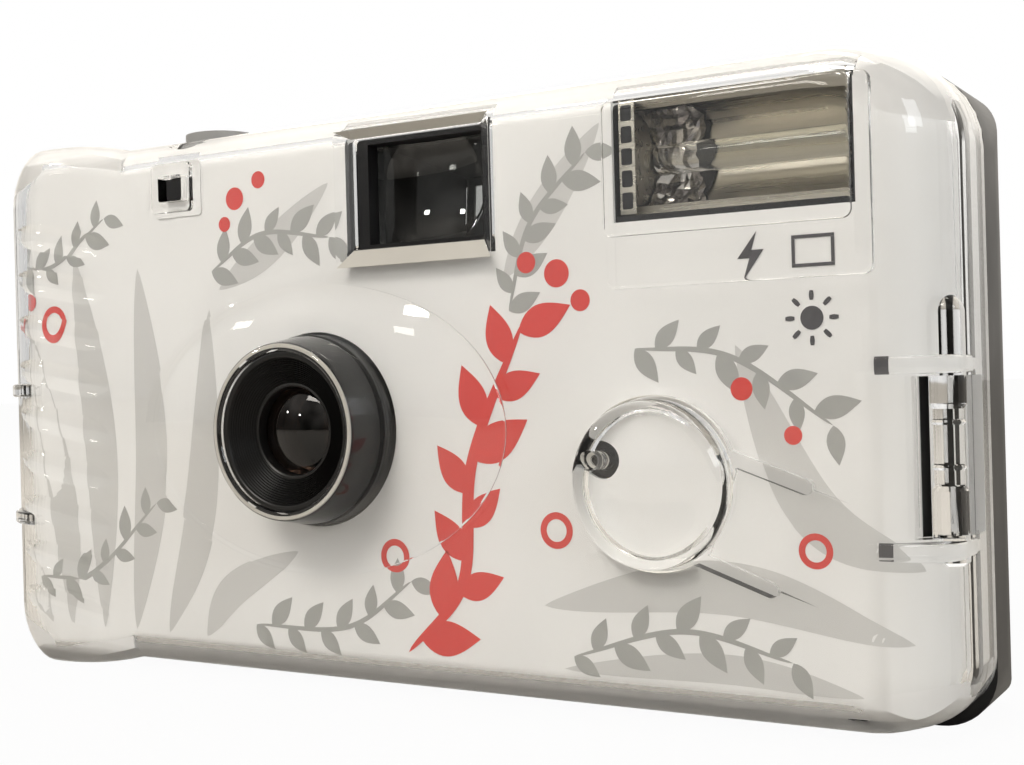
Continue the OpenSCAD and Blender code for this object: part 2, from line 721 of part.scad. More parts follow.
module taking_lens() color([0.85, 0.9, 0.95, 0.4]) intersection() {
    cyl_y(lens_x, lens_z, seat_r - bearing, seat_y + 0.05, seat_y + lens_t);
    translate([lens_x, seat_y + 8.05, lens_z]) sphere(8);
}
module aperture_plate() color([0.12, 0.12, 0.12]) difference() {
    union() {
        cyl_y(lens_x, lens_z, seat_r + hood_wall, hood_back, hood_back + 0.4);
        cyl_y(lens_x, lens_z, seat_r - bearing, seat_y + lens_t + 0.1, hood_back + 0.1);
    }
    cyl_y(lens_x, lens_z, iris_r, seat_y, hood_back + 1);
    about_lens(seat_y + lens_t) polygon([[0, 0], [seat_r - 0.8, 0], [iris_r, hood_back - seat_y - lens_t], [0, hood_back - seat_y - lens_t]]);
}

module shutter_blade() color([0.25, 0.25, 0.27]) along_y(blade_y, blade_y + blade_t) difference() {
    union() {
        translate([lens_x, lens_z]) circle(iris_r + 1.2);
        translate([blade_x, blade_z]) {
            circle(peg_r + 1);
            rotate(blade_angle) translate([0, -1]) square([blade_reach, 2]);
            translate([-tail_w / 2, 0]) square([tail_w, striker_z + striker_t - blade_z]);
        }
    }
    translate([blade_x, blade_z]) circle(peg_r + bearing);
}
module blade_spring() color("silver") difference() {
    cyl_y(blade_x, blade_z, peg_r + 0.7, blade_y - 1.2, blade_y - fit);
    cyl_y(blade_x, blade_z, peg_r + 0.1, blade_y - 2, blade_y);
}
module striker_lever() color([0.75, 0.75, 0.72]) difference() {
    union() {
        cyl_z(striker_x, striker_y, peg_r + 1.1, striker_z, striker_z + striker_t);
        translate([striker_x, striker_y, striker_z]) rotate(striker_lean)
            translate([-0.7, -striker_arm, 0]) cube([1.4, striker_arm, striker_t]);
        translate([striker_x, striker_y, striker_z]) rotate(15)
            translate([-0.8, 0, 0]) cube([1.6, 4.5, striker_t]);
    }
    cyl_z(striker_x, striker_y, peg_r + bearing, striker_z - 1, striker_z + striker_t + 1);
}
module striker_spring() color("silver")
    ring_z(striker_x, striker_y, peg_r + 1, peg_r + 0.1, striker_z + striker_t + 0.2, striker_z + striker_t + 1.4);

module release_button() color([0.85, 0.1, 0.12]) {
    difference() {
        union() {
            cyl_z(release_x, release_y, release_r, inner_top - 1.7, total_h);
            cyl_z(release_x, release_y, release_r + 1, inner_top - 1.7, inner_top - 0.3);
        }
        translate([release_x, release_y, total_h + 18.5]) sphere(19);
    }
    cyl_z(release_x, release_y, stem_r, deck_top + release_travel + 0.3, inner_top - 1.6);
}
module release_spring() color("silver")
    ring_z(release_x, release_y, stem_r + 1.1, stem_r + 0.4, deck_top, inner_top - 1.75);

module thumbwheel() color([0.08, 0.08, 0.085]) {
    difference() {
        cyl_z(cart_x, cart_y, wheel_r, wheel_z, wheel_z + wheel_t);
        for (i = [0:47]) translate([cart_x, cart_y, wheel_z - 1]) rotate(i * 7.5) translate([wheel_r + 0.25, 0, 0])
            cylinder(r = 0.6, h = wheel_t + 2, $fn = 16);
        ring_z(cart_x, cart_y, wheel_r - 2.2, spool_stub_r + 2, wheel_z + 1.2, wheel_z + wheel_t + 1);
    }
    cyl_z(cart_x, cart_y, spool_bore_r - bearing, deck_z - 4, wheel_z + 0.1);
}
module cartridge_spool() color([0.15, 0.15, 0.16]) difference() {
    union() {
        cyl_z(cart_x, cart_y, 5.5, cart_z + 1, cart_z + cartridge_h - 1);
        cyl_z(cart_x, cart_y, spool_stub_r, floor_top + 0.2, wheel_z - 0.1);
        for (z = [cart_z + 1, cart_z + cartridge_h - 2]) cyl_z(cart_x, cart_y, cartridge_r - 1.2, z, z + 1);
    }
    cyl_z(cart_x, cart_y, spool_bore_r, deck_z - 5, wheel_z + 1);
}
module cartridge_shell() color([0.85, 0.75, 0.2]) difference() {
    ring_z(cart_x, cart_y, cartridge_r, cartridge_r - 0.4, cart_z + 0.5, cart_z + cartridge_h - 0.5);
    box([cart_x, cart_y + cartridge_r - 1.4, cart_z], [cart_x + 9, rear_depth, cart_z + cartridge_h]);
}
module cartridge_caps() color([0.3, 0.3, 0.32])
    for (z = [cart_z, cart_z + cartridge_h - 0.5])
        ring_z(cart_x, cart_y, cartridge_r, spool_stub_r + bearing, z, z + 0.5);
module film_strip() color([0.35, 0.2, 0.12]) box([cart_x + 9.2, film_y, film_z],
    [supply_x - supply_r + 2.2, film_y + film_t, film_top]);
module supply_spool() color([0.12, 0.12, 0.13]) difference() {
    union() {
        cyl_z(supply_x, supply_y, 4, film_z - 0.6, film_top + 0.6);
        cyl_z(supply_x, supply_y, 1.5, floor_top + run, film_z);
        for (z = [film_z - 1.2, film_top + 0.2]) cyl_z(supply_x, supply_y, roll_r + 0.6, z, z + 1);
    }
    cyl_z(supply_x, supply_y, 2.4, film_z + 4, film_top + 2);
}
module film_roll() color([0.3, 0.18, 0.12])
    ring_z(supply_x, supply_y, roll_r, 4, film_z + 0.05, film_top - 0.05);

module sprocket_shaft() color([0.9, 0.9, 0.88]) {
    cyl_z(sprocket_x, sprocket_y, shaft_r, lens_z + gate_h / 2 + box_wall + run, counter_z + counter_t);
    cyl_z(sprocket_x, sprocket_y, sprocket_r - 1, sprocket_z, sprocket_z + sprocket_t);
    for (i = [0:sprocket_teeth - 1]) translate([sprocket_x, sprocket_y, sprocket_z]) rotate(360 / sprocket_teeth * i)
        translate([0, -0.5, 0]) cube([sprocket_r, 1, sprocket_t]);
    difference() {
        cyl_z(sprocket_x, sprocket_y, 3.6, wheel_z, wheel_z + 1.5);
        cyl_z(sprocket_x + 4, sprocket_y, 1.6, wheel_z - 1, wheel_z + 2);
    }
    cyl_z(sprocket_x, sprocket_y, counter_finger, counter_z, counter_z + counter_t);
}
module counter_disc() color("white") difference() {
    union() {
        cyl_z(counter_x, counter_y, counter_r, counter_z, counter_z + counter_t);
        cyl_z(counter_x, counter_y, peg_r + 1, deck_top + 0.2, counter_z + 0.1);
    }
    cyl_z(counter_x, counter_y, peg_r + bearing, deck_top, total_h);
    for (i = [0:29]) translate([counter_x, counter_y, counter_z - 1]) rotate(i * 12) translate([counter_r + 0.3, 0, 0])
        cylinder(r = 0.7, h = 3, $fn = 16);
}
module counter_window() color([0.9, 0.93, 0.95, 0.4]) {
    cyl_z(window_x, window_y, window_r, inner_top - 0.5, top_z - 0.2);
    cyl_z(window_x, window_y, window_r + 0.8, inner_top - 0.8, inner_top - 0.02);
}

module finder_front_lens() color([0.85, 0.9, 0.95, 0.4]) difference() {
    finder_pane(plate_back + 1.2, 1.8);
    translate([tunnel_x + tunnel_w / 2, plate_back - 17.3, tunnel_z + tunnel_h / 2]) sphere(19.5, $fn = 240);
}
module finder_eyepiece() color([0.85, 0.9, 0.95, 0.4]) intersection() {
    finder_pane(tunnel_back - 2.2, 2);
    translate([tunnel_x + tunnel_w / 2, tunnel_back - 30.2, tunnel_z + tunnel_h / 2]) sphere(30, $fn = 300);
}
module finder_pane(y, t) box([tunnel_x + fit, y, tunnel_z + fit], [tunnel_x + tunnel_w - fit, y + t, tunnel_z + tunnel_h - fit]);

module flash_reflector() color([0.85, 0.85, 0.86]) difference() {
    mirror_trough(mirror_r, 0);
    mirror_trough(mirror_r - 0.5, 0.5);
    cyl_x(mirror_y + 1, mirror_z, tube_r + fit, mirror_x - 1, mirror_x + mirror_l + 1);
}
module mirror_trough(r, end) along_x(mirror_x + end, mirror_x + mirror_l - end) {
    intersection() {
        translate([mirror_y, mirror_z]) circle(r);
        translate([mirror_y, mirror_z - r]) square(2 * r);
    }
    translate([plate_y + 0.2, mirror_z - r]) square([mirror_y - plate_y - 0.2, 2 * r]);
}
module flash_tube() color([0.9, 0.9, 0.85, 0.5])
    cyl_x(mirror_y + 1, mirror_z, tube_r, mirror_x - 1.8, mirror_x + mirror_l + 1.8);

module circuit_board() color([0.55, 0.4, 0.2])
    box([board_x, board_y, floor_top + fit], [board_right, board_y + board_t, board_top]);
module flash_capacitor() color([0.1, 0.1, 0.13]) {
    cyl_z(cap_x, cap_y, cap_r, floor_top + 0.2, floor_top + cap_len);
    cyl_z(cap_x, cap_y, cap_r - 0.7, floor_top + cap_len - 0.1, floor_top + cap_len + 0.3);
}
module transformer() color([0.85, 0.7, 0.2]) {
    y = board_y + board_t;
    box([board_right - 9, y + 0.05, lens_z - 8], [board_right, y + 5, lens_z - 6]);
    box([board_right - 9, y + 0.05, lens_z + 2], [board_right, y + 5, lens_z + 4]);
    box([board_right - 8, y + 0.5, lens_z - 6.1], [board_right - 1, y + 4.6, lens_z + 2.1]);
}
module trigger_coil() color([0.6, 0.3, 0.1]) {
    r = 2.4;
    cyl_z(board_right - 6, board_y + board_t + r + 0.1, r, lens_z + 6, lens_z + 14);
    cyl_z(board_right - 6, board_y + board_t + r + 0.1, 1.2, lens_z + 4.3, lens_z + 15.5);
}
module ready_lamp() color([1, 0.55, 0.2]) {
    cyl_y(lamp_x, lamp_z, lamp_r, film_y - 3, rear_depth - 0.8);
    translate([lamp_x, rear_depth - 0.8 - lamp_r * 0.8, lamp_z]) sphere(lamp_r);
}
module charge_contact() color([0.8, 0.65, 0.35]) {
    box([pin_x - 1, contact_y, pin_z - contact_len], [pin_x + 1, contact_y + contact_t, pin_z + 1.4]);
    box([pin_x - 1, contact_y, pin_z - contact_len - 1], [pin_x + 1, board_y - run, pin_z - contact_len]);
}
module battery_cell() color([0.15, 0.3, 0.2]) {
    cyl_x(cell_y, cell_z, cell_d / 2, cell_left, cell_right - 1);
    cyl_x(cell_y, cell_z, 1.9, cell_right - 1.1, cell_right);
}
module positive_contact() color([0.8, 0.8, 0.8])
    box([cell_right + 0.2, cell_y - 4, floor_top + 0.05], [cell_right + 0.2 + contact_plate, cell_y + 2.5, cell_z + 3.5]);
module negative_contact() color([0.8, 0.8, 0.8]) {
    box([cell_left - 0.2 - contact_plate, cell_y - 4, floor_top + 0.05], [cell_left - 0.2, cell_y + 2.5, cell_z + 3.5]);
    cyl_x(cell_y, cell_z, 2, cell_left - 0.25, cell_left - 0.05);
}

front_cover();
flash_button();
label_card();
rear_cover();
chassis();
mechanism_deck();
lens_hood();
taking_lens();
aperture_plate();
shutter_blade();
blade_spring();
striker_lever();
striker_spring();
release_button();
release_spring();
thumbwheel();
cartridge_spool();
cartridge_shell();
cartridge_caps();
film_strip();
supply_spool();
film_roll();
sprocket_shaft();
counter_disc();
counter_window();
finder_front_lens();
finder_eyepiece();
flash_reflector();
flash_tube();
circuit_board();
flash_capacitor();
transformer();
trigger_coil();
ready_lamp();
charge_contact();
battery_cell();
positive_contact();
negative_contact();
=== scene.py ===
# %% [markdown]
# # A disposable film camera
# The camera is a clear moulded shell over a printed card, with a black film box behind it.
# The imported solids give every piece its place, so this lesson only adds the looks:
# smooth skins, clear plastic, print, metal and light. All sizes are written in millimetres
# and turned into metres once, by `MM`.

# %% Load the frame
import math
from contextlib import contextmanager
import bmesh
import bpy
from mathutils import Matrix, Vector, noise


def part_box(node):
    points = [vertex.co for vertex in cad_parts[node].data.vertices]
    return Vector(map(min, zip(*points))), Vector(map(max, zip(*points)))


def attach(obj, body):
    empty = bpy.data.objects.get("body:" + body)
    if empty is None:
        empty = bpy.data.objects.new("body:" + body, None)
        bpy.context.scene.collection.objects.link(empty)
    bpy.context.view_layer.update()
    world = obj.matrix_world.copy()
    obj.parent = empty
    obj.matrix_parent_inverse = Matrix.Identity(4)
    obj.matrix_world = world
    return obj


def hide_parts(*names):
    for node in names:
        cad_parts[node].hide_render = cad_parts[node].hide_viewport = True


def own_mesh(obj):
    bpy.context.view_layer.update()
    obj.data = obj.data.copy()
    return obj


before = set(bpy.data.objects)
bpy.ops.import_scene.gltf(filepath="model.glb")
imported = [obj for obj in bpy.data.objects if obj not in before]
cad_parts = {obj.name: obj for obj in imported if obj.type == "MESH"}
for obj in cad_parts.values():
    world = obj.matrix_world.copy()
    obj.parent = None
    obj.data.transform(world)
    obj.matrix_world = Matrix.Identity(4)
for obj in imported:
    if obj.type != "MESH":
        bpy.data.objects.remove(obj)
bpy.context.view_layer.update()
MM = 0.001

# %% [markdown]
# ## The camera that looks at it
# The photograph was taken from the front right, at about half the height of the object.
# Three turns and a place describe such a view: yaw, pitch and roll. Writing the three axes of
# the viewing frame by hand keeps the sums in sight, where an aimed constraint would hide them.

# %% Viewing camera
eye = Vector((86.0, -126.7, 31.4)) * MM
yaw, pitch, roll = 0.541, 0.001, 0.027
right = Vector((math.cos(yaw), math.sin(yaw), 0))
ahead = Vector((-math.sin(yaw), math.cos(yaw), 0))
down = Vector((0, 0, -1))
ahead, down = (math.cos(pitch) * ahead + math.sin(pitch) * down,
               math.cos(pitch) * down - math.sin(pitch) * ahead)
right, down = (math.cos(roll) * right + math.sin(roll) * down,
               math.cos(roll) * down - math.sin(roll) * right)
lens_data = bpy.data.cameras.new("photo_view")
lens_data.sensor_fit = "HORIZONTAL"
lens_data.sensor_width = 36
lens_data.lens = 50.1
lens_data.clip_start, lens_data.clip_end = 0.005, 20
photo_view = bpy.data.objects.new("photo_view", lens_data)
photo_view.matrix_world = Matrix.LocRotScale(
    eye, Matrix((right, -down, -ahead)).transposed().to_quaternion(), None)
bpy.context.collection.objects.link(photo_view)
scene = bpy.context.scene
scene.camera = photo_view
scene.view_settings.view_transform = "Standard"
print("view from", [round(v, 3) for v in eye], "m")

# %% [markdown]
# ## Floor, sky and lamps
# The background is plain white, but the object must not stand in a white fog: black plastic would
# turn grey and clear plastic would vanish. Light Path tells a material which kind of ray has
# reached it. Rays straight from the camera see white, and rays that leave through a clear edge
# see much of that white too. Every other ray, whether it lights the object or mirrors in it,
# sees a room: dim in front, brighter behind and above, with soft patches. A ray that has met
# a dull surface counts as light for it, even if it then passes clear plastic.

# %% Nodes in few words
def adder(tree):
    """A short way to add nodes. An input takes a value, a socket, or a node for its first output."""
    def feed(socket, value):
        if isinstance(value, bpy.types.Node):
            value = value.outputs[0]
        if isinstance(value, bpy.types.NodeSocket):
            tree.links.new(value, socket)
        elif value is not None:
            socket.default_value = value

    def add(kind, *inputs, **named):
        node = tree.nodes.new(kind)
        for key in [key for key in named if key in node.bl_rna.properties]:
            setattr(node, key, named.pop(key))
        for key, value in named.items():
            feed(node.inputs[key.replace("_", " ")], value)
        for socket, value in zip(node.inputs, inputs):
            feed(socket, value)
        return node
    return add


def maths(add, how, *values):
    """A Math node of the given operation."""
    return add("ShaderNodeMath", *values, operation=how)


def nodes_of(owner):
    """Empties the node tree of a material or a world and returns the short way to fill it."""
    owner.use_nodes = True
    owner.node_tree.nodes.clear()
    return adder(owner.node_tree)


# %% Room light
SEEN_THROUGH = 0.62
sky = bpy.data.worlds.new("room_light")
scene.world = sky
add = nodes_of(sky)
where = add("ShaderNodeTexCoord").outputs["Generated"]
way = add("ShaderNodeSeparateXYZ", where).outputs
rise = add("ShaderNodeMapRange", way["Z"], 0.0, 0.8, 0.2, 0.75)
behind = add("ShaderNodeMapRange", way["Y"], -0.1, 0.8, 0.0, 0.65)
patches = add("ShaderNodeTexNoise", Vector=where, Scale=1.6, Detail=2.0)
uneven = add("ShaderNodeMapRange", patches, 0.35, 0.65, 0.35, 1.5)
both = maths(add, "ADD", rise, behind)
level = maths(add, "MULTIPLY", both, uneven)
room = add("ShaderNodeBackground", Color=(1.0, 0.95, 0.87, 1), Strength=level)
shown = add("ShaderNodeBackground", Color=(1, 1, 1, 1), Strength=1.0)
path = add("ShaderNodeLightPath").outputs
before_card = maths(add, "LESS_THAN", path["Diffuse Depth"], 0.5)
bent = maths(add, "MULTIPLY", path["Is Transmission Ray"], before_card)
partly = maths(add, "MULTIPLY", bent, SEEN_THROUGH)
share = maths(add, "MAXIMUM", path["Is Camera Ray"], partly)
add("ShaderNodeOutputWorld", add("ShaderNodeMixShader", share, room, shown))
print("room light: white to the camera, pale through clear edges, dim and patchy to everything else")

# %% Floor
FLOOR_WHITE, FLOOR_HALF = 0.96, 4
floor_paper = bpy.data.materials.new("floor_paper")
add = nodes_of(floor_paper)
dull = add("ShaderNodeBsdfDiffuse", Color=(0.62, 0.60, 0.57, 1))
bright = add("ShaderNodeEmission", Color=(1, 1, 1, 1), Strength=1.0)
path = add("ShaderNodeLightPath").outputs
share = maths(add, "MULTIPLY", path["Is Camera Ray"], FLOOR_WHITE)
add("ShaderNodeOutputMaterial", add("ShaderNodeMixShader", share, dull, bright))

floor_mesh = bpy.data.meshes.new("floor")
floor_mesh.from_pydata([(x * FLOOR_HALF, y * FLOOR_HALF, 0) for x, y in ((-1, -1), (1, -1), (1, 1), (-1, 1))],
                       [], [(0, 1, 2, 3)])
floor_mesh.materials.append(floor_paper)
floor = bpy.data.objects.new("floor", floor_mesh)
bpy.context.collection.objects.link(floor)

# %% Lamps
def soft_lamp(name, place, aim, size, watts, colour):
    """A rectangular lamp at a place, turned to an aim. Lengths are in metres."""
    lamp = bpy.data.lights.new(name, "AREA")
    lamp.shape = "RECTANGLE"
    lamp.size, lamp.size_y = size
    lamp.energy = watts
    lamp.color = colour
    obj = bpy.data.objects.new(name, lamp)
    obj.location = place
    obj.rotation_euler = (Vector(aim) - Vector(place)).to_track_quat("-Z", "Y").to_euler()
    bpy.context.collection.objects.link(obj)


middle = (0, 0, 0.03)
soft_lamp("key", (-0.12, -0.55, 0.60), middle, (0.30, 0.20), 2.0, (1.0, 0.95, 0.88))
soft_lamp("right", (0.75, -0.30, 0.40), middle, (0.25, 0.30), 1.1, (0.92, 0.96, 1.0))
soft_lamp("top", (0.05, 0.10, 0.75), middle, (0.50, 0.12), 1.1, (1.0, 0.95, 0.87))
soft_lamp("back", (-0.45, 0.70, 0.45), middle, (0.40, 0.40), 1.2, (1.0, 0.95, 0.88))
for side, x, y in (("left", -0.71, -0.55), ("right", -0.41, -0.80)):
    soft_lamp("spot_" + side, (x, y, 0.32), middle, (0.05, 0.03), 0.30, (1.0, 0.97, 0.92))
print("6 lamps")

# %% [markdown]
# ## Shared surface effects
# Moulded plastic, card and metal differ less in colour than in their fine relief. Each effect
# is a node group that is built once: grain for moulded plastic, fibres for card, streaks for
# drawn metal. A group gives values only, and the shader stays in each material.

# %% Groups
def effect(name, inputs, outputs):
    """A node group with float inputs (name: default) and outputs, its input sockets, and the adder."""
    group = bpy.data.node_groups.new(name, "ShaderNodeTree")
    for key, value in inputs.items():
        socket = group.interface.new_socket(key, in_out="INPUT", socket_type="NodeSocketFloat")
        socket.default_value = value
    for key in outputs:
        group.interface.new_socket(key, in_out="OUTPUT", socket_type="NodeSocketFloat")
    add = adder(group)
    return group, add("NodeGroupInput").outputs, add


def spread(add, value, low=0.0, high=1.0):
    """Maps a value of about 0.3 to 0.7, as noise gives it, to the range low to high."""
    return add("ShaderNodeMapRange", value, 0.3, 0.7, low, high)


# %% Moulded grain
grain, given, add = effect("moulded_grain", {"Scale": 900.0, "Gloss Low": 0.3, "Gloss High": 0.5},
                           ("Height", "Gloss", "Shade"))
where = add("ShaderNodeTexCoord").outputs["Object"]
fine = add("ShaderNodeTexNoise", Vector=where, Scale=given["Scale"], Detail=3.0, Roughness=0.6)
wide = add("ShaderNodeTexNoise", Vector=where, Scale=45.0, Detail=4.0, Roughness=0.55)
add("NodeGroupOutput", Height=fine, Shade=spread(add, wide),
    Gloss=spread(add, wide, given["Gloss Low"], given["Gloss High"]))


# %% Card fibres
fibre, given, add = effect("card_fibre", {"Scale": 2600.0}, ("Height", "Shade"))
where = add("ShaderNodeTexCoord").outputs["Object"]
stretch = add("ShaderNodeMapping", Vector=where, Scale=(1.0, 1.0, 0.35))
threads = add("ShaderNodeTexNoise", Vector=stretch, Scale=given["Scale"], Detail=4.0, Roughness=0.7)
cloud = add("ShaderNodeTexNoise", Vector=where, Scale=60.0, Detail=2.0)
add("NodeGroupOutput", Height=threads, Shade=spread(add, cloud))

# %% Drawn metal
ALONG, ACROSS = 30.0, 900.0
streaks, given, add = effect(
    "drawn_metal", {"Along X": ALONG, "Along Y": ACROSS, "Along Z": ACROSS,
                    "Gloss Low": 0.15, "Gloss High": 0.35}, ("Height", "Gloss", "Shade"))
where = add("ShaderNodeTexCoord").outputs["Object"]
scale = add("ShaderNodeCombineXYZ", *[given["Along " + axis] for axis in "XYZ"])
product = add("ShaderNodeVectorMath", where, scale, operation="MULTIPLY")
lines = add("ShaderNodeTexNoise", Vector=product, Scale=1.0, Detail=3.0, Roughness=0.5)
add("NodeGroupOutput", Height=lines, Shade=spread(add, lines),
    Gloss=spread(add, lines, given["Gloss Low"], given["Gloss High"]))
print("3 shared effects")

# %% [markdown]
# ## Finishes
# Every opaque finish is a Principled shader with one of the effects: the effect's Shade mixes
# two near colours, Gloss drives the roughness and Height a small bump. The clear plastics are
# a fully transmitting shader. Their surface would shade the card behind them, because a ray
# that looks for a lamp does not bend, so for shadow rays alone they turn into plain see-through.

# %% Opaque finishes
def opaque(name, group, dark, light, values=None, metal=0.0, bump=0.1, reach=0.02, coat=0.0, rough=None,
           shine=0.5):
    """Principled finish with a shared effect. Colours are linear, reach is the bump's height in mm."""
    mat = bpy.data.materials.new(name)
    add = nodes_of(mat)
    fx = add("ShaderNodeGroup", node_tree=group, **(values or {})).outputs
    tint = add("ShaderNodeMix", fx["Shade"], data_type="RGBA")
    tint.inputs[6].default_value, tint.inputs[7].default_value = (*dark, 1), (*light, 1)
    relief = add("ShaderNodeBump", Strength=bump, Distance=reach * MM, Height=fx["Height"])
    shader = add("ShaderNodeBsdfPrincipled", Base_Color=tint.outputs[2], Metallic=metal, Normal=relief,
                 Roughness=fx["Gloss"] if rough is None else rough, Specular_IOR_Level=shine,
                 Coat_Weight=coat, Coat_Roughness=0.15)
    add("ShaderNodeOutputMaterial", shader)
    return mat


def plastic(name, dark, light, low=0.3, high=0.5, scale=900.0, bump=0.15, **rest):
    """Moulded plastic with a gloss from low to high."""
    values = {"Scale": scale, "Gloss Low": low, "Gloss High": high}
    return opaque(name, grain, dark, light, values, bump=bump, **rest)


def metal(name, dark, light, along="X", low=0.15, high=0.35, bump=0.08):
    """Metal drawn along an axis."""
    values = {"Along " + axis: ALONG if axis == along else ACROSS for axis in "XYZ"}
    values |= {"Gloss Low": low, "Gloss High": high}
    return opaque(name, streaks, dark, light, values, metal=1.0, bump=bump)


black_plastic = plastic("black_plastic", (0.007, 0.007, 0.008), (0.012, 0.012, 0.013), 0.34, 0.48,
                        shine=0.26)
hood_plastic = plastic("hood_plastic", (0.006, 0.006, 0.006), (0.011, 0.010, 0.010), 0.30, 0.42, 1400.0,
                       shine=0.36)
white_plastic = plastic("white_plastic", (0.74, 0.74, 0.72), (0.80, 0.80, 0.78), 0.25, 0.4)
grey_plastic = plastic("grey_plastic", (0.30, 0.30, 0.30), (0.36, 0.36, 0.36), 0.3, 0.45)
film_base = plastic("film", (0.045, 0.022, 0.016), (0.065, 0.032, 0.022), 0.12, 0.2, 300.0, 0.02, coat=0.3)
board_resin = plastic("board", (0.20, 0.12, 0.05), (0.26, 0.16, 0.07), 0.4, 0.55)
sleeve_blue = plastic("capacitor_sleeve", (0.01, 0.012, 0.03), (0.016, 0.018, 0.045), 0.15, 0.25, coat=0.4)
tape_amber = plastic("transformer_tape", (0.55, 0.36, 0.03), (0.68, 0.46, 0.06), 0.2, 0.3, coat=0.3)
cell_green = plastic("cell_sleeve", (0.02, 0.07, 0.035), (0.03, 0.10, 0.05), 0.15, 0.25, coat=0.4)
cartridge_metal = metal("cartridge_metal", (0.60, 0.46, 0.10), (0.72, 0.58, 0.16), "Z", 0.3, 0.4)
cap_metal = metal("cap_metal", (0.30, 0.30, 0.31), (0.45, 0.45, 0.46), "X", 0.3, 0.45)
spring_steel = metal("spring_steel", (0.50, 0.50, 0.51), (0.66, 0.66, 0.66))
blackened_steel = metal("blackened_steel", (0.012, 0.012, 0.013), (0.025, 0.025, 0.026), "Z", 0.45, 0.6)
plated_steel = metal("plated_steel", (0.62, 0.62, 0.60), (0.76, 0.76, 0.74), "Z")
brass = metal("brass", (0.60, 0.42, 0.16), (0.74, 0.54, 0.22), "Z")
copper = metal("copper", (0.60, 0.26, 0.13), (0.75, 0.36, 0.20), "X")
mirror_metal = metal("reflector_metal", (0.34, 0.32, 0.27), (0.48, 0.45, 0.39), "X", 0.20, 0.38, 0.10)
foil_metal = metal("reflector_foil", (0.42, 0.40, 0.39), (0.58, 0.56, 0.55), "Z", 0.08, 0.2, 0.05)
white_card = opaque("printed_card", fibre, (0.78, 0.775, 0.77), (0.84, 0.835, 0.83), bump=0.15,
                    reach=0.01, rough=0.45)
print("19 opaque finishes")

# %% Clear finishes
def clear(name, tint, ior, rough=0.02, ripple=0.0):
    """Clear plastic: bends light for the eye, and lets the lamps through to what lies behind."""
    mat = bpy.data.materials.new(name)
    add = nodes_of(mat)
    relief = None
    if ripple:
        fx = add("ShaderNodeGroup", node_tree=grain, Scale=60.0)
        relief = add("ShaderNodeBump", Strength=ripple, Distance=0.1 * MM, Height=fx.outputs["Height"])
    shader = add("ShaderNodeBsdfPrincipled", Base_Color=(*tint, 1), Roughness=rough, IOR=ior,
                 Transmission_Weight=1.0, Normal=relief)
    through = add("ShaderNodeBsdfTransparent", Color=(*[v * 0.97 for v in tint], 1))
    path = add("ShaderNodeLightPath").outputs
    add("ShaderNodeOutputMaterial", add("ShaderNodeMixShader", path["Is Shadow Ray"], shader, through))
    return mat


clear_plastic = clear("clear_plastic", (0.985, 0.988, 0.985), 1.49, 0.02, 0.05)
optical_plastic = clear("optical_plastic", (0.98, 0.985, 0.985), 1.49, 0.0)
lens_plastic = clear("lens_plastic", (0.09, 0.055, 0.04), 1.49, 0.0)
# The viewfinder lens has a grey tint that darkens the tunnel seen through it: painted shade.
finder_plastic = clear("finder_plastic", (0.42, 0.43, 0.42), 1.49, 0.0)
flash_glass = clear("flash_glass", (0.97, 0.96, 0.90), 1.47, 0.02)
lamp_orange = clear("lamp", (0.95, 0.45, 0.10), 1.5, 0.15)
# The next two pale opaque finishes are painted highlights: they stand in for the light that clear edges
# catch.
painted_edge_highlight = plastic("painted_edge_highlight", (0.80, 0.78, 0.73), (0.88, 0.86, 0.81), 0.3, 0.45)
painted_highlight = plastic("painted_highlight_rim", (0.52, 0.50, 0.46), (0.64, 0.62, 0.57), 0.25, 0.4)
print("6 clear finishes and two frosted ones")

# %% [markdown]
# ## Smooth skins over the solids
# The solids come as loose triangles with one flat normal each. A copy of such a mesh is welded,
# its coplanar triangles are dissolved, and edges sharper than a given angle stay hard. Normals
# weighted by area then keep flat faces flat where they meet a curve.

# %% Skin helper
def finish_piece(obj, body, finish, nodes=()):
    """Gives a made piece its finish and its body, and hides the solids it stands for."""
    obj.data.materials.clear()
    obj.data.materials.append(finish)
    bpy.context.collection.objects.link(obj)
    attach(obj, body)
    if nodes:
        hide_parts(*nodes)
    return obj


@contextmanager
def editing(mesh):
    """Opens a mesh for work on its points and faces, and writes it back."""
    bm = bmesh.new()
    bm.from_mesh(mesh)
    yield bm
    bm.to_mesh(mesh)
    bm.free()


def polish(obj, degrees=32):
    """Smooth curves, edges that stay hard beyond an angle, and flat faces that stay flat."""
    with editing(obj.data) as bm:
        for face in bm.faces:
            face.smooth = True
        for edge in bm.edges:
            edge.smooth = len(edge.link_faces) == 2 and edge.calc_face_angle(0) < math.radians(degrees)
    obj.modifiers.new("flat faces stay flat", "WEIGHTED_NORMAL").keep_sharp = True
    return obj


def skin_of(node, name):
    """A welded copy of a solid with smooth curves, for a piece that takes the solid's place."""
    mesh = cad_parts[node].data.copy()
    mesh.name = name
    with editing(mesh) as bm:
        bmesh.ops.remove_doubles(bm, verts=bm.verts, dist=2e-6)
        bmesh.ops.dissolve_limit(bm, angle_limit=math.radians(0.6), verts=bm.verts, edges=bm.edges)
    return polish(bpy.data.objects.new(name, mesh))


# %% Skins of the card and the back
label_card = finish_piece(skin_of("label_card", "label_card_skin"), "camera",
                          white_card, ["label_card"])
rear_cover = finish_piece(skin_of("rear_cover", "rear_cover_skin"), "camera",
                          black_plastic, ["rear_cover"])
print("skins: card", len(label_card.data.polygons), "faces, rear cover", len(rear_cover.data.polygons))

# %% [markdown]
# ## Tools for made pieces
# Three small tools make most of the hard pieces. A loft joins rings of points, as a
# boat builder bends planks over frames. A turned piece spins a profile round an axis, as on a
# lathe. Carving then joins such bodies or cuts one with another; the Manifold solver is quick
# and leaves a closed skin, where the older solvers can leave cracks.

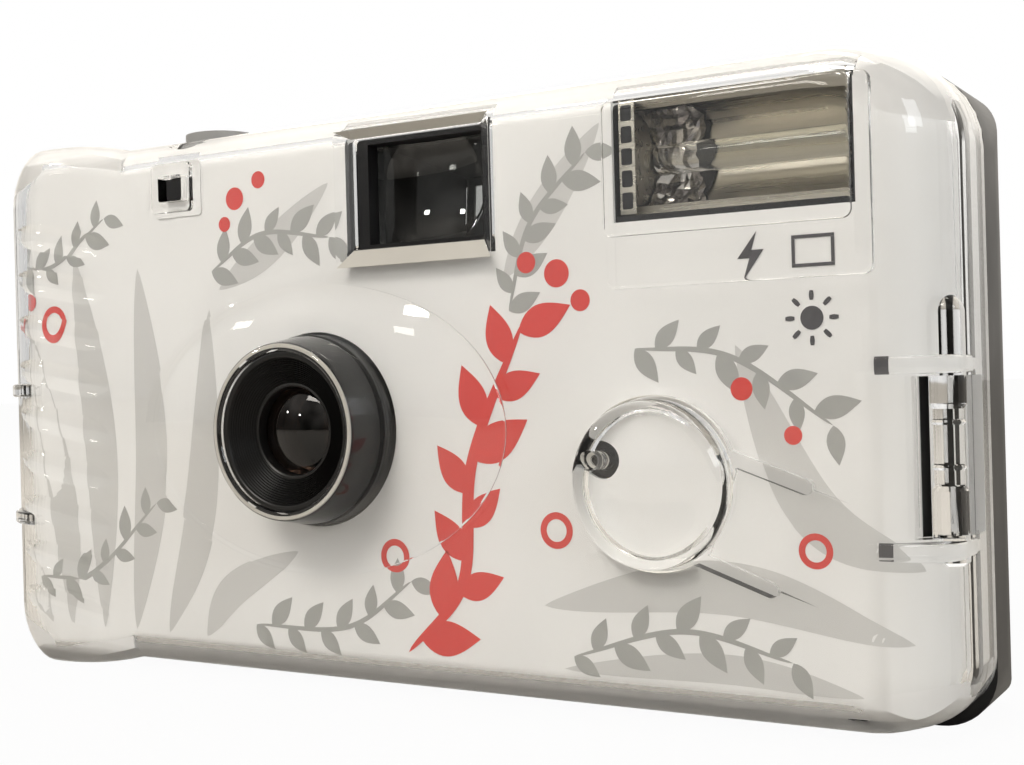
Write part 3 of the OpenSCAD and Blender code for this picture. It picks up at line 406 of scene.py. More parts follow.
# %% Loft, turn and carve
def plain(name, points, edges=(), faces=()):
    """An object from bare lists of points, edges and faces."""
    mesh = bpy.data.meshes.new(name)
    mesh.from_pydata([[c * MM for c in point] for point in points], edges, faces)
    return bpy.data.objects.new(name, mesh)


def made(name, bm):
    """An object from a bmesh, welded, with its faces pointing outwards."""
    bmesh.ops.remove_doubles(bm, verts=bm.verts, dist=1e-7)
    bmesh.ops.recalc_face_normals(bm, faces=bm.faces)
    mesh = bpy.data.meshes.new(name)
    bm.to_mesh(mesh)
    bm.free()
    return bpy.data.objects.new(name, mesh)


def loft(name, rings):
    """A closed body through rings of equally many points, with flat ends."""
    bm = bmesh.new()
    rows = [[bm.verts.new([c * MM for c in point]) for point in ring] for ring in rings]
    for a, b in zip(rows, rows[1:]):
        for i in range(len(a)):
            j = (i + 1) % len(a)
            bm.faces.new((a[i], a[j], b[j], b[i]))
    bm.faces.new(rows[0])
    bm.faces.new(rows[-1])
    return made(name, bm)


def turned(name, profile, place, axis="Y", closed=False, steps=96, stretch=(1, 1)):
    """A body of revolution about Y or Z. The profile lists (radius, height), place is the centre."""
    bm = bmesh.new()
    rows = []
    for r, h in profile:
        row = []
        for k in range(steps if r > 1e-6 else 1):
            turn = 2 * math.pi * k / steps
            u = place[0] + r * math.cos(turn) * stretch[0]
            v = place[1] + r * math.sin(turn) * stretch[1]
            row.append(bm.verts.new([c * MM for c in ((u, h, v) if axis == "Y" else (u, v, h))]))
        rows.append(row)
    for a, b in zip(rows, rows[1:] + rows[:1] if closed else rows[1:]):
        for k in range(steps):
            corners = [a[k % len(a)], a[(k + 1) % len(a)], b[(k + 1) % len(b)], b[k % len(b)]]
            bm.faces.new(list(dict.fromkeys(corners)))
    return made(name, bm)


def carve(base, *work):
    """Does a list of (boolean operation, body) on a base, and uses the bodies up."""
    link = bpy.context.collection.objects.link
    link(base)
    for how, tool in work:
        link(tool)
        cut = base.modifiers.new(tool.name, "BOOLEAN")
        cut.operation, cut.object, cut.solver = how, tool, "MANIFOLD"
    graph = bpy.context.evaluated_depsgraph_get()
    mesh = bpy.data.meshes.new_from_object(base.evaluated_get(graph))
    base.modifiers.clear()
    base.data = mesh
    for _, tool in work:
        bpy.data.objects.remove(tool)
    bpy.context.collection.objects.unlink(base)
    return base


# %% Blocks with round corners and edges
def arc(u, v, r, start, end, steps):
    """Points (u, v) on an arc round a centre, from one angle to another in degrees."""
    turns = [math.radians(start + (end - start) * k / steps) for k in range(steps + 1)]
    return [(u + r * math.cos(t), v + r * math.sin(t)) for t in turns]


def round_ring(low, high, r, third, plane="XZ"):
    """Points of a rectangle with round corners, at a level along the third axis."""
    corners = ((high[0] - r, low[1] + r, -90), (high[0] - r, high[1] - r, 0),
               (low[0] + r, high[1] - r, 90), (low[0] + r, low[1] + r, 180))
    points = [p for u, v, start in corners for p in arc(u, v, r, start, start + 90, 7)]
    return [(u, third, v) if plane == "XZ" else (u, v, third) for u, v in points]


def block(name, low, high, r, back, front, edge=0.3, plane="XZ", both=False):
    """A block with round corners whose front edge, or both edges, are rounded too."""
    sign = 1 if front > back else -1
    levels = [(edge * (1 - math.cos(t)), front - sign * edge * (1 - math.sin(t)))
              for t in (math.radians(15 * k) for k in range(7))]
    if both:
        levels = [(i, back + front - level) for i, level in reversed(levels)] + levels
    else:
        levels.insert(0, (0, back))
    return loft(name, [round_ring([v + i for v in low], [v - i for v in high], max(r - i, 0.02), level, plane)
                       for i, level in levels])


print("tools ready")

# %% [markdown]
# ## The clear front cover
# This is the piece that needs the most skill on the real object: one clear moulding with
# a large soft corner at each end, a crowned grip with slanting ridges, a low dome that carries
# the lens turret, a stepped panel over the flash, and a latch at each end. The skin is lofted
# from outlines at growing depth. It is hollowed by the same loft, one wall further in, so that
# both sides of the wall bend light as the real wall does.

# %% Sizes of the cover
FRONT, WALL = -13.0, 1.4
LOW, HIGH, HALF = 1.5, 58.5, 58.0
GRIP_END = -33.0
LENS = (-6.2, 27.0)
CORNER = {"grip": 12.5, "end": 8.0, "edge": 2.5, "face": 5.0, "top": 8.0}
EDGE_SHARE, LEAST_R, GRIP_STEPS, TURN_STEPS = 0.6, 1.2, 12, 8


def crown(x):
    """How far the grip's arched edges stand above the straight ones."""
    bend, middle_x, rise = 52.83, (GRIP_END - HALF) / 2, 1.5
    return max(0.0, math.sqrt(max(0.0, bend * bend - (x - middle_x) ** 2)) - bend + rise)


def cover_ring(y, inset):
    """The cover's outline at depth y, one wall further in where inset is the wall."""
    def drawn_in(r):
        short = max(0.0, FRONT + inset + r - y)
        return r - math.sqrt(max(0.0, r * r - short * short))
    left = inset - HALF + drawn_in(CORNER["grip"] - inset)
    right_end = HALF - inset - drawn_in(CORNER["end"] - inset)
    edge = drawn_in(CORNER["edge"] - EDGE_SHARE * inset)
    low, high = LOW + inset + edge, HIGH - inset - edge
    r = max(LEAST_R, CORNER["face"] - inset - edge)
    points = []
    for k in range(GRIP_STEPS + 1):
        x = left + r + (GRIP_END - left - r) * k / GRIP_STEPS
        points.append((x, y, low - crown(x)))
    top_r = r + CORNER["top"] - CORNER["face"]
    for cr, cz, start in ((r, low + r, -90), (top_r, high - top_r, 0)):
        points += [(x, y, z) for x, z in arc(right_end - cr, cz, cr, start, start + 90, TURN_STEPS)]
    for k in range(GRIP_STEPS + 1):
        x = GRIP_END + (left + r - GRIP_END) * k / GRIP_STEPS
        points.append((x, y, high + crown(x)))
    for cz, start, sign in ((high - r, 90, 1), (low + r, 180, -1)):
        for k in range(1, TURN_STEPS + 1) if sign > 0 else range(TURN_STEPS):
            t = math.radians(start + 90 * k / TURN_STEPS)
            x, lift = left + r + r * math.cos(t), abs(math.sin(t))
            points.append((x, y, cz + r * math.sin(t) + sign * crown(x) * lift))
    return points


def cover_body(name, inset, back):
    """The cover's outline lofted from the seam to the front, closer together where it bends."""
    depths = {back, 0.0}
    for key, r in CORNER.items():
        if key not in ("face", "top"):
            r = r - inset * (EDGE_SHARE if key == "edge" else 1)
            depths |= {round(FRONT + inset + r * (1 - math.cos(math.radians(7.5 * k))), 4)
                       for k in range(13)}
    depths = sorted(d for d in depths if d <= 0.0 or d == back)
    return loft(name, [cover_ring(y, inset) for y in reversed(depths)])


cover_outside = cover_body("front_cover_skin", 0.0, 0.0)
# The upper and lower walls touch the card's folds, which light them up. Elsewhere a gap of air stays.
GAP_WALL = WALL - 0.12
MIDDLE_Z, DRAWN_IN = 30.0 * MM, 0.9895
cover_inside = cover_body("cover_inside", GAP_WALL, 1.0)
for v in cover_inside.data.vertices:
    v.co.z = MIDDLE_Z + (v.co.z - MIDDLE_Z) * DRAWN_IN
print("cover loft:", len(cover_outside.data.vertices), "points outside")

# %% [markdown]
# ### Grip ridges
# Nine slanting ridges run over the grip and round its corner. They are one shape repeated at
# an even pitch, which is what Geometry Nodes are for: a path along the surface becomes a round
# bar that thins out at its ends, and a line of points repeats it upwards.

# %% Ridges as nodes
def node_tree(name, sizes):
    """A Geometry Nodes tree with float or whole-number inputs, its input sockets, and the adder."""
    tree = bpy.data.node_groups.new(name, "GeometryNodeTree")
    for way in ("INPUT", "OUTPUT"):
        tree.interface.new_socket("Geometry", in_out=way, socket_type="NodeSocketGeometry")
    for key, value in sizes.items():
        kind = "NodeSocketInt" if isinstance(value, int) else "NodeSocketFloat"
        tree.interface.new_socket(key, in_out="INPUT", socket_type=kind)
    add = adder(tree)
    return tree, add("NodeGroupInput").outputs, add


def upwards(add, given):
    """A line of points that climbs by the pitch."""
    step = add("ShaderNodeCombineXYZ", Z=given["Pitch"])
    return add("GeometryNodeMeshLine", Count=given["Count"], Offset=step)


def repeat(add, finish, **inputs):
    """Ends a tree: a piece repeated on points, made real and given its finish."""
    real = add("GeometryNodeRealizeInstances", add("GeometryNodeInstanceOnPoints", **inputs))
    add("NodeGroupOutput", add("GeometryNodeSetMaterial", Geometry=real, Material=finish))


def grown(name, source, tree, sizes):
    """Runs a tree on an object with the given sizes and returns the result as a plain mesh object."""
    bpy.context.collection.objects.link(source)
    modifier = source.modifiers.new("grow", "NODES")
    modifier.node_group = tree
    keys = {item.name: item.identifier for item in tree.interface.items_tree if item.in_out == "INPUT"}
    for key, value in sizes.items():
        modifier[keys[key]] = value
    graph = bpy.context.evaluated_depsgraph_get()
    mesh = bpy.data.meshes.new_from_object(source.evaluated_get(graph))
    bpy.data.objects.remove(source)
    mesh.name = name
    return bpy.data.objects.new(name, mesh)


ridge_sizes = {"Count": 9, "Pitch": 5.25 * MM, "Radius": 4.0 * MM}
ridge_tree, given, add = node_tree("grip_ridges", ridge_sizes)
along = add("GeometryNodeSplineParameter").outputs["Factor"]
fade = maths(add, "PINGPONG", along, 0.5)
path_curve = add("GeometryNodeMeshToCurve", given["Geometry"])
circle = add("GeometryNodeCurvePrimitiveCircle", Resolution=64, Radius=given["Radius"])
bar = add("GeometryNodeCurveToMesh", Curve=path_curve, Profile_Curve=circle, Fill_Caps=True,
          Scale=add("ShaderNodeMapRange", fade, 0.0, 0.25, 0.9, 1.0))
repeat(add, clear_plastic, Points=upwards(add, given), Instance=bar)

# %% Path of one ridge
SUNK, RUN, STRAIGHT, STEPS = 3.68, 18.6, 11.3, 48
RIDGE_X, RIDGE_Z, SLANT = -34.2, 5.4, math.tan(math.radians(10))
points = []
turn_x, turn_y, r = CORNER["grip"] - HALF, FRONT + CORNER["grip"], CORNER["grip"] - SUNK
for k in range(STEPS + 1):
    run = RUN * k / STEPS
    if run < STRAIGHT:
        x, y = RIDGE_X - run, turn_y - r
    else:
        t = (run - STRAIGHT) / CORNER["grip"]
        x, y = turn_x - r * math.sin(t), turn_y - r * math.cos(t)
    points.append((x, y, RIDGE_Z + run * SLANT))
path = plain("ridge_path", points, edges=[(k, k + 1) for k in range(STEPS)])
ridges = grown("grip_ridges", path, ridge_tree, ridge_sizes)
print("ridges:", len(ridges.data.polygons), "faces")

# %% Raised features of the cover
DOME_RISE, DOME_HALF, DOME_STEPS = 1.3, (23.0, 14.7), 20


def dome(name, drop, back, step=0.0):
    """The low oval dome round the turret, with a small step at its foot."""
    rows = [(s, FRONT + drop - step - (DOME_RISE - step) * (1 - s ** 3))
            for s in (k / DOME_STEPS for k in range(DOME_STEPS + 1))]
    rows += [(1.004, FRONT + drop - 0.7 * step), (1.006, FRONT + drop - 0.3 * step)] if step else []
    return turned(name, rows + [(rows[-1][0], back), (0, back)], LENS, stretch=DOME_HALF, steps=128)


def latch_column(name, x, y):
    """Stepped round column with a domed cap."""
    r, top = 1.5, 36.1
    rows = [(0, 15.4), (1.2, 15.4), (r, 15.7), (r, 21.5), (1.25, 21.9), (1.25, 23.2), (1.4, 23.4),
            (1.25, 23.6), (1.25, 26.9), (1.4, 27.1), (1.25, 27.3), (1.25, 28.2), (r, 28.6), (r, top)]
    rows += arc(0, top, r, 10, 80, 7) + [(0, top + r)]
    return turned(name, rows, (x, y), axis="Z", steps=48)


def flange(name, z, left):
    """A flat shelf at one end of the cover, cut off behind."""
    r, thick, reach = 11.0 if left else 3.5, 1.5, 10
    low, high = ((-HALF, FRONT), (-HALF + 3 * r, 2 * r)) if left else ((HALF - 12, FRONT), (HALF, 12))
    body = block(name, low, high, r, z, z + thick, 0.3, plane="XY", both=True)
    x0, x1 = (-HALF - 1, reach - HALF) if left else (HALF - reach, HALF + 1)
    trim = block(name + "_trim", (x0, FRONT - 1), (x1, -1.0), 0.05, z - 1, z + 2 * thick, 0.02, plane="XY")
    return carve(body, ("INTERSECT", trim))


PANEL_LEFT, PANEL_TOP, ROOTED = 28, 55.9, FRONT + 0.5
features = [dome("dome", 0.0, FRONT + 0.7, 0.3), ridges,
            block("flash_panel", (PANEL_LEFT, 39.3), (52, PANEL_TOP), 0.8, ROOTED, FRONT - 0.5, 0.3),
            block("flash_window", (PANEL_LEFT, 43.9), (50.5, PANEL_TOP), 0.8, ROOTED, FRONT - 1.0, 0.3),
            block("snap_pad", (-27.4, 50.6), (-21.6, PANEL_TOP), 0.6, ROOTED, FRONT - 0.5, 0.25),
            latch_column("end_column", 56.5, -8.5), latch_column("grip_column", -55.2, -6.5)]
for z in (16.0, 31.1):
    features += [flange(f"end_flange_{z:.0f}", z, False), flange(f"grip_flange_{z:.0f}", z, True)]


# %% Openings of the cover
TILT = math.radians(-20)
BUTTON, PIN, RELEASE = (31.9, 22.0), (26.07, 24.12), (-24.5, -5.0)
ROOT, TONGUE_HALF, TONGUE_BACK, HOLE_R = 13.0, 4.0, -12.4, 7.85
SLOT_BACK, SLOT_LOW, SLOT_HIGH = -3.0, 17.7, 30.9


def on_tongue(u, y, v):
    """A point of the flash button's tongue: u along it from the button's middle, v across it."""
    return (BUTTON[0] + u * math.cos(TILT) - v * math.sin(TILT), y,
            BUTTON[1] + u * math.sin(TILT) + v * math.cos(TILT))


def button_outline():
    """Outline of the button's hole with the two slots that free its tongue, as (u, v)."""
    r, half, slot = HOLE_R, TONGUE_HALF, 1.3
    inner, outer = math.degrees(math.asin(half / r)), math.degrees(math.asin((half + slot) / r))
    part = arc(0, 0, r, inner, inner, 1)[:1] + arc(ROOT, half + slot / 2, slot / 2, -90, 90, 10)
    part += arc(0, 0, r, outer, 180, 40)
    mirrored = [(u, -v) for u, v in part]
    return part + mirrored[-2::-1] + arc(0, 0, r, -inner * 5 / 6, inner * 5 / 6, 10)


button_cut = loft("button_cut", [[on_tongue(u, y, v) for u, v in button_outline()]
                                 for y in (FRONT - 3, FRONT + 3)])
thin_root = loft("thin_root", [[on_tongue(u, y, v) for u, y in (
    (6.0, -11.0), (6.0, TONGUE_BACK), (ROOT, TONGUE_BACK), (18.0, -11.59), (18.0, -11.0))]
    for v in (-4.6, 4.6)])
cuts = [cover_inside, dome("dome_inside", WALL, FRONT + 3),
        turned("turret_bore", [(0, -20), (8.62, -20), (8.62, -10), (0, -10)], LENS), button_cut, thin_root,
        block("snap_hole", (-26.2, 51.8), (-22.8, 54.6), 0.3, FRONT + 3, FRONT - 3, 0.02),
        turned("release_hole", [(0, 54), (4.15, 54), (4.15, 62), (0, 62)], RELEASE, axis="Z", steps=64)]
slots = [block(name, (x0, FRONT - 1), (x1, SLOT_BACK), 0.05, SLOT_LOW, SLOT_HIGH, 0.02, plane="XY")
         for name, x0, x1 in (("end_slot", 54.4, HALF + 1), ("grip_slot", -HALF - 1, -53.1))]
print(len(features), "features,", len(cuts) + len(slots), "openings")

# %% Turret, collar and the finished cover
turret = turned("turret", [(7.9, -17.75), (8.0, -17.92), (8.15, -18.0), (8.6, -18.0), (8.8, -17.9),
                           (8.9, -17.65), (9.42, -14.6), (9.55, -13.6), (9.6, -12.8), (9.6, -11.6),
                           (8.6, -11.6)], LENS, closed=True, steps=128)
collar = block("finder_collar", (-2.0, 43.9), (15.5, 57.0), 0.8, -11.2, -12.9, 0.05)
# The viewfinder's opening widens towards the front: lower and upper corner, inside and outside.
FINDER_IN, FINDER_OUT = ((-0.9, 45.0), (14.4, 56.0)), ((-2.7, 42.9), (15.9, 56.9))
BEVEL_IN, BEVEL_OUT = -11.9, -13.1
opening = loft("finder_opening", [round_ring(*corners, 0.5, y) for corners, y in (
    (FINDER_IN, -10.9), (FINDER_IN, BEVEL_IN), (FINDER_OUT, BEVEL_OUT), (FINDER_OUT, -14.0))])
cover_work = [("DIFFERENCE", slot) for slot in slots] + [("UNION", body) for body in features]
cover_work += [("DIFFERENCE", body) for body in cuts]
cover_work += [("UNION", turret), ("UNION", collar), ("DIFFERENCE", opening)]

# %% [markdown]
# ## The flash button
# A clear dished cap on a tongue that bends. It is turned as one profile with a soft rim,
# because the rim is what shows: clear plastic is seen by its edges. A hollow pin reaches through
# the card to the contact. On the real object cover, tongue and button are one moulding, so they
# are carved as one body here and then parted at the tongue's root. The parting leaves no end
# faces: at rest the clear plastic runs through, and no false line shows.

# %% Button, tongue and pin
rim = [(0, -14.45), (2.0, -14.5), (3.6, -14.65), (4.8, -14.85), (5.6, -14.97), (6.3, -15.0), (6.8, -14.93),
       (7.2, -14.72), (7.42, -14.4), (7.5, -14.0), (7.5, -12.75), (6.5, -12.75), (6.5, -13.45), (6.3, -13.7),
       (5.9, -13.8), (0, -13.6)]
button = turned("button", rim, BUTTON, steps=128)
pin = turned("pin", [(0.0, -14.1), (0.9, -14.1), (0.9, -10.35), (0.75, -10.2), (0.55, -10.2), (0.4, -10.4),
                     (0.4, -11.9), (0, -11.9)], PIN, steps=48)
bridge = loft("bridge", [[on_tongue(u, y, v * TONGUE_HALF) for u, v in (
    (6.9, -1), (8.3, -1), (8.3, 1), (6.9, 1))] for y in (TONGUE_BACK, FRONT)])
front_cover = carve(cover_outside, *cover_work, ("UNION", bridge), ("UNION", button), ("UNION", pin))


def part_at_root(whole, name):
    """Parts the button from the cover along the tongue's root, and returns the button."""
    root = Vector(on_tongue(ROOT, FRONT, 0)) * MM
    along = Vector((math.cos(TILT), 0, math.sin(TILT)))
    across = Vector((-math.sin(TILT), 0, math.cos(TILT)))
    middle = Vector((BUTTON[0], -14.45, BUTTON[1])) * MM

    def past(v):
        return (v.co - root).dot(along)

    def aside(v):
        return abs((v.co - root).dot(across))

    with editing(whole.data) as bm:
        near = [f for f in bm.faces if min(map(past, f.verts)) < 0 and max(map(past, f.verts)) > -1e-5
                and all(v.co.y < -11.5 * MM for v in f.verts) and min(map(aside, f.verts)) < 4.7 * MM]
        parts = near + list({e for f in near for e in f.edges}) + list({v for f in near for v in f.verts})
        bmesh.ops.bisect_plane(bm, geom=parts, plane_co=root, plane_no=along, dist=1e-8)
        line = [e for e in bm.edges if all(abs(past(v)) < 1e-7 and v.co.y < -12.3 * MM
                                           and aside(v) < 4.02 * MM for v in e.verts)]
        bmesh.ops.split_edges(bm, edges=line)
        bm.verts.index_update()
        front = {min(bm.verts, key=lambda v: (v.co - middle).length)}
        reached = set(front)
        while front:
            front = {e.other_vert(v) for v in front for e in v.link_edges} - reached
            reached |= front
        print("parting line of", len(line), "edges frees", len(reached), "of", len(bm.verts), "points")
        freed = bm.copy()
        chosen = {v.index for v in reached}
        bmesh.ops.delete(bm, geom=[v for v in bm.verts if v.index in chosen], context="VERTS")
    bmesh.ops.delete(freed, geom=[v for v in freed.verts if v.index not in chosen], context="VERTS")
    mesh = bpy.data.meshes.new(name)
    freed.to_mesh(mesh)
    freed.free()
    return bpy.data.objects.new(name, mesh)


flash_button = part_at_root(front_cover, "flash_button_skin")
finish_piece(polish(front_cover, 28), "camera", clear_plastic, ["front_cover"])
finish_piece(polish(flash_button, 28), "flash_key", clear_plastic, ["flash_button"])
print("front cover:", len(front_cover.data.polygons), "faces,",
      "flash button:", len(flash_button.data.polygons))


# %% Painted highlight on the edge of the button's hole
# A pale band paints the highlight that the cut edge of clear plastic shows. Left clear, it would pass the
# view on into the wall.
EDGE_FRONT, EDGE_BACK = -12.93, -11.74
edges = [[on_tongue(u, y, v) for u, v in arc(0, 0, HOLE_R - inset, 43.5, 316.5, 96)] for inset, y in (
    (0.06, EDGE_FRONT), (0.01, EDGE_FRONT), (0.01, EDGE_BACK), (0.06, EDGE_BACK))]
finish_piece(polish(loft("hole_edge", list(zip(*edges)))), "camera", painted_edge_highlight)

# %% Painted shade in the pin's hole, and a painted highlight ring on the pin
def washer(name, inner, outer, front, back):
    """A flat ring round the pin."""
    rows = [(inner, front), (outer, front), (outer, back), (inner, back)]
    return polish(turned(name, rows, PIN, closed=inner > 0, steps=48))


blade_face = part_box("charge_contact")[0][1] / MM
# A black ring and a black disc paint the shade in the pin's hole: they hide the hole's wall and the brass
# blade behind it.
finish_piece(washer("pin_hole_shade", 1.02, 1.72, -10.9, -10.5), "camera", black_plastic)
shade_disc = washer("contact_shade", 0, 1.5, blade_face - 0.06, blade_face - 0.01)
finish_piece(shade_disc, "charge_switch", black_plastic)
# The pale ring on the pin is a painted highlight.
finish_piece(washer("pin_ring", 0.5, 0.8, -11.75, -11.7), "flash_key", painted_highlight)
print("contact blade starts at", round(blade_face, 2))

# %% Card frame of the snap window
snap_frame = carve(block("snap_frame", (-27.8, 50.2), (-21.2, 56.2), 0.4, -11.58, -11.69, 0.02),
                   ("DIFFERENCE",
                    block("snap_inner", (-26.1, 51.8), (-22.9, 54.6), 0.3, -10.0, -13.0, 0.02)))
finish_piece(polish(snap_frame), "camera", white_card)

# %% Paper strip in the seam
# The end of the clear wall meets the black cover here. A pale strip in touch with it keeps the
# wall bright, because light that zigzags along the wall would otherwise be trapped at its end.
SEATED = -0.04
outside, inside = cover_ring(0.0, 0.03), cover_ring(0.0, GAP_WALL - 0.02)
count = len(outside)
seam_strip = plain("seam_strip", [(x, SEATED, z) for x, _, z in outside + inside], faces=[
    (i, (i + 1) % count, count + (i + 1) % count, count + i) for i in range(count)])
finish_piece(seam_strip, "camera", white_card)

# %% [markdown]
# ## Lens, hood and viewfinder lens
# The hood is a black funnel with fine steps that kill stray light. It is one turned profile:
# rim, outer wall, flange, seat and the steps back to the rim. The lens is turned too, so its
# curve is a true sphere and its highlights stay round.

# %% Hood and lens
GROOVES, steps = 12, []
for k in range(GROOVES):
    r, y = 4.8 + 2.55 * k / GROOVES, -16.0 - 1.4 * k / GROOVES
    steps += [(r, y), (r + 0.06, y + 0.13), (r + 0.13, y + 0.09)]
hood_profile = [(7.38, -17.42), (7.5, -17.5), (7.8, -17.5), (8.0, -17.4), (8.06, -17.1),
                (8.45, -13.5), (9.55, -13.3), (9.62, -13.1), (9.62, -11.1), (9.8, -11.1), (9.8, -10.3),
                (4.6, -10.3), (4.6, -8.5), (3.6, -8.5), (3.6, -12.0), (4.4, -12.1), (4.4, -15.6),
                (4.5, -15.95), (4.65, -16.05)]
lens_hood = turned("lens_hood_skin", hood_profile + steps, LENS, closed=True, steps=128)
finish_piece(polish(lens_hood, 24), "camera", hood_plastic, ["lens_hood"])
LENS_R, LENS_BEND = 4.35, 8.0
bulge = [(r, -8.2 - math.sqrt(LENS_BEND ** 2 - r ** 2)) for r in (LENS_R * k / 16 for k in range(17))]
lens_back = [(LENS_R, -12.2), (3.55, -12.15), (3.55, -9.95), (3.5, -9.9), (0, -9.9)]
taking_lens = turned("taking_lens_skin", bulge + lens_back, LENS, steps=96)
finish_piece(polish(taking_lens), "camera", lens_plastic, ["taking_lens"])
# The pale ring on the turret's front paints the highlight that the clear rim takes from the light above.
turret_rim = turned("turret_rim", [(8.34, -17.99), (8.66, -17.99), (8.74, -17.9), (8.7, -17.8),
                                   (8.38, -17.8)], LENS, closed=True, steps=128)
finish_piece(polish(turret_rim), "camera", painted_highlight)

# %% Painted highlight on the bevel of the viewfinder opening
def bevel_strip(name, side):
    """A thin pale strip of painted highlight, mitred, on the slope below (side 0) or above (side 1) the
    opening.
    """
    z, rise = FINDER_IN[side][1], FINDER_OUT[side][1] - FINDER_IN[side][1]
    rings = []
    for (x, _), (x_out, _) in zip(FINDER_IN, FINDER_OUT):
        rings.append([(x + (x_out - x) * t, BEVEL_IN + (BEVEL_OUT - BEVEL_IN) * t - lift, z + rise * t)
                      for t, lift in ((0.05, 0.02), (0.88, 0.02), (0.88, 0.07), (0.05, 0.07))])
    finish_piece(polish(loft(name, rings)), "camera", painted_highlight)


bevel_strip("finder_bevel_low", 0)
bevel_strip("finder_bevel_top", 1)

# %% Viewfinder front lens
# A ball hollows out the lens's face, and a flat brim stays round the hollow.
COLUMNS, ROWS = 44, 32
LOW_X, LOW_Z, WIDE, TALL = 0.1, 45.6, 13.3, 9.9
HOLLOW_R, HOLLOW_Y, BRIM_Y, BACK_Y = 19.5, -27.6, -9.1, -7.3
bm = bmesh.new()
grid = []
for j in range(ROWS + 1):
    row = []
    for i in range(COLUMNS + 1):
        x, z = LOW_X + WIDE * i / COLUMNS, LOW_Z + TALL * j / ROWS
        out = (x - LOW_X - WIDE / 2) ** 2 + (z - LOW_Z - TALL / 2) ** 2
        y = max(BRIM_Y, HOLLOW_Y + math.sqrt(HOLLOW_R ** 2 - out))
        row.append(bm.verts.new((x * MM, y * MM, z * MM)))
    grid.append(row)
for a, b in zip(grid, grid[1:]):
    for i in range(COLUMNS):
        bm.faces.new((a[i], a[i + 1], b[i + 1], b[i]))
rim = grid[0][:-1] + [row[-1] for row in grid[:-1]] + grid[-1][:0:-1] + [row[0] for row in grid[:0:-1]]
back = [bm.verts.new((v.co.x, BACK_Y * MM, v.co.z)) for v in rim]
for k in range(len(rim)):
    n = (k + 1) % len(rim)
    bm.faces.new((rim[k], rim[n], back[n], back[k]))
bm.faces.new(back)
finder_lens = made("finder_front_lens_skin", bm)
finish_piece(polish(finder_lens, 20), "camera", finder_plastic, ["finder_front_lens"])
print("lenses and hood made")

# %% [markdown]
# ## The flash
# Behind its window the flash is a trough of bright sheet metal round a glass tube. Its left end
# is lined with crumpled foil that carries the trigger voltage, and a slotted strip holds it.
# The trough is one profile drawn along X. The foil follows the same curve, but each of its
# points is pushed about by noise and its faces stay flat, which is what makes foil look crumpled.

# %% Trough
FLASH_Y, FLASH_Z, LIP, FLASH_X = -8.3, 51.1, -10.7, (29.3, 49.5)


def trough(r, spread):
    """Points of the reflector's curve: lip, arc, lip."""
    curve = [(max(y, LIP), z) for y, z in arc(FLASH_Y, FLASH_Z, r, -110, 110, 44)]
    return [(LIP, FLASH_Z - spread)] + curve + [(LIP, FLASH_Z + spread)]


inner, outer = trough(4.62, 5.35), trough(4.95, 5.35)
profile = inner + [(y + 0.02 if y < -10.6 else y, z) for y, z in reversed(outer)]
shell = loft("flash_reflector_skin", [[(x, y, z) for y, z in profile] for x in FLASH_X])
with editing(shell.data) as bm:
    for x, flare in zip(FLASH_X, (-0.25, 0.25)):
        bm.faces.new([bm.verts.new([c * MM for c in (x if y > -8.0 else x + flare, y, z)])
                      for y, z in inner])
finish_piece(polish(shell, 40), "camera", mirror_metal, ["flash_reflector"])

# %% Crumpled foil, and painted shade in the gap past its torn edge
def foil_sheet(name, across, along, lift, uneven, flat):
    """A sheet on the trough's curve. along(s) gives its ends in x for each place s round the curve."""
    rows, points, faces = 18, [], []
    for i in range(rows + 1):
        a = math.radians(-100 + 200 * i / rows)
        x0, x1 = along(i / rows)
        for j in range(across + 1):
            x = x0 + (x1 - x0) * j / across
            r = 4.5 - lift - uneven * noise.noise(Vector((x * 0.9, a * 3.1, 4.7)))
            shift = 0.4 * uneven * noise.noise(Vector((x, a * 4, 9.1)))
            points.append((x + shift, max(FLASH_Y + r * math.cos(a), -10.6), FLASH_Z + r * math.sin(a)))
    for i in range(rows):
        for j in range(across):
            k = i * (across + 1) + j
            faces.append((k, k + 1, k + across + 2, k + across + 1))
    sheet = plain(name, points, faces=faces)
    for face in sheet.data.polygons:
        face.use_smooth = not flat
    return sheet


def torn(s):
    """Right edge of the foil: ragged, with a bay in the middle."""
    return 35.0 + 0.9 * noise.noise(Vector((s * 9.0, 2.0, 0))) - 1.3 * math.exp(-((s - 0.5) / 0.16) ** 2)


def gap_shade_ends(s):
    """Both ends of the black strip that paints the shade in the gap beyond the torn foil."""
    bay = 1.5 * math.exp(-((s - 0.5) / 0.12) ** 2)
    return torn(s) - 0.3, torn(s) + 0.2 + bay + 0.5 * max(0, noise.noise(Vector((s * 12.0, 7.0, 0))))


foil = foil_sheet("flash_foil", 9, lambda s: (29.5, torn(s)), 0.25, 0.55, True)
finish_piece(foil, "camera", foil_metal)
# A black sheet behind the torn edge paints the shade of the gap there.
gap_shade = foil_sheet("flash_gap_shade", 3, gap_shade_ends, 0.12, 0.0, False)
finish_piece(gap_shade, "camera", black_plastic)

# %% Slotted strip at the left of the trough
strip = block("flash_strip", (28.75, 46.0), (30.35, 56.3), 0.15, -10.65, -10.85, 0.05)
finish_piece(polish(strip), "camera", mirror_metal)
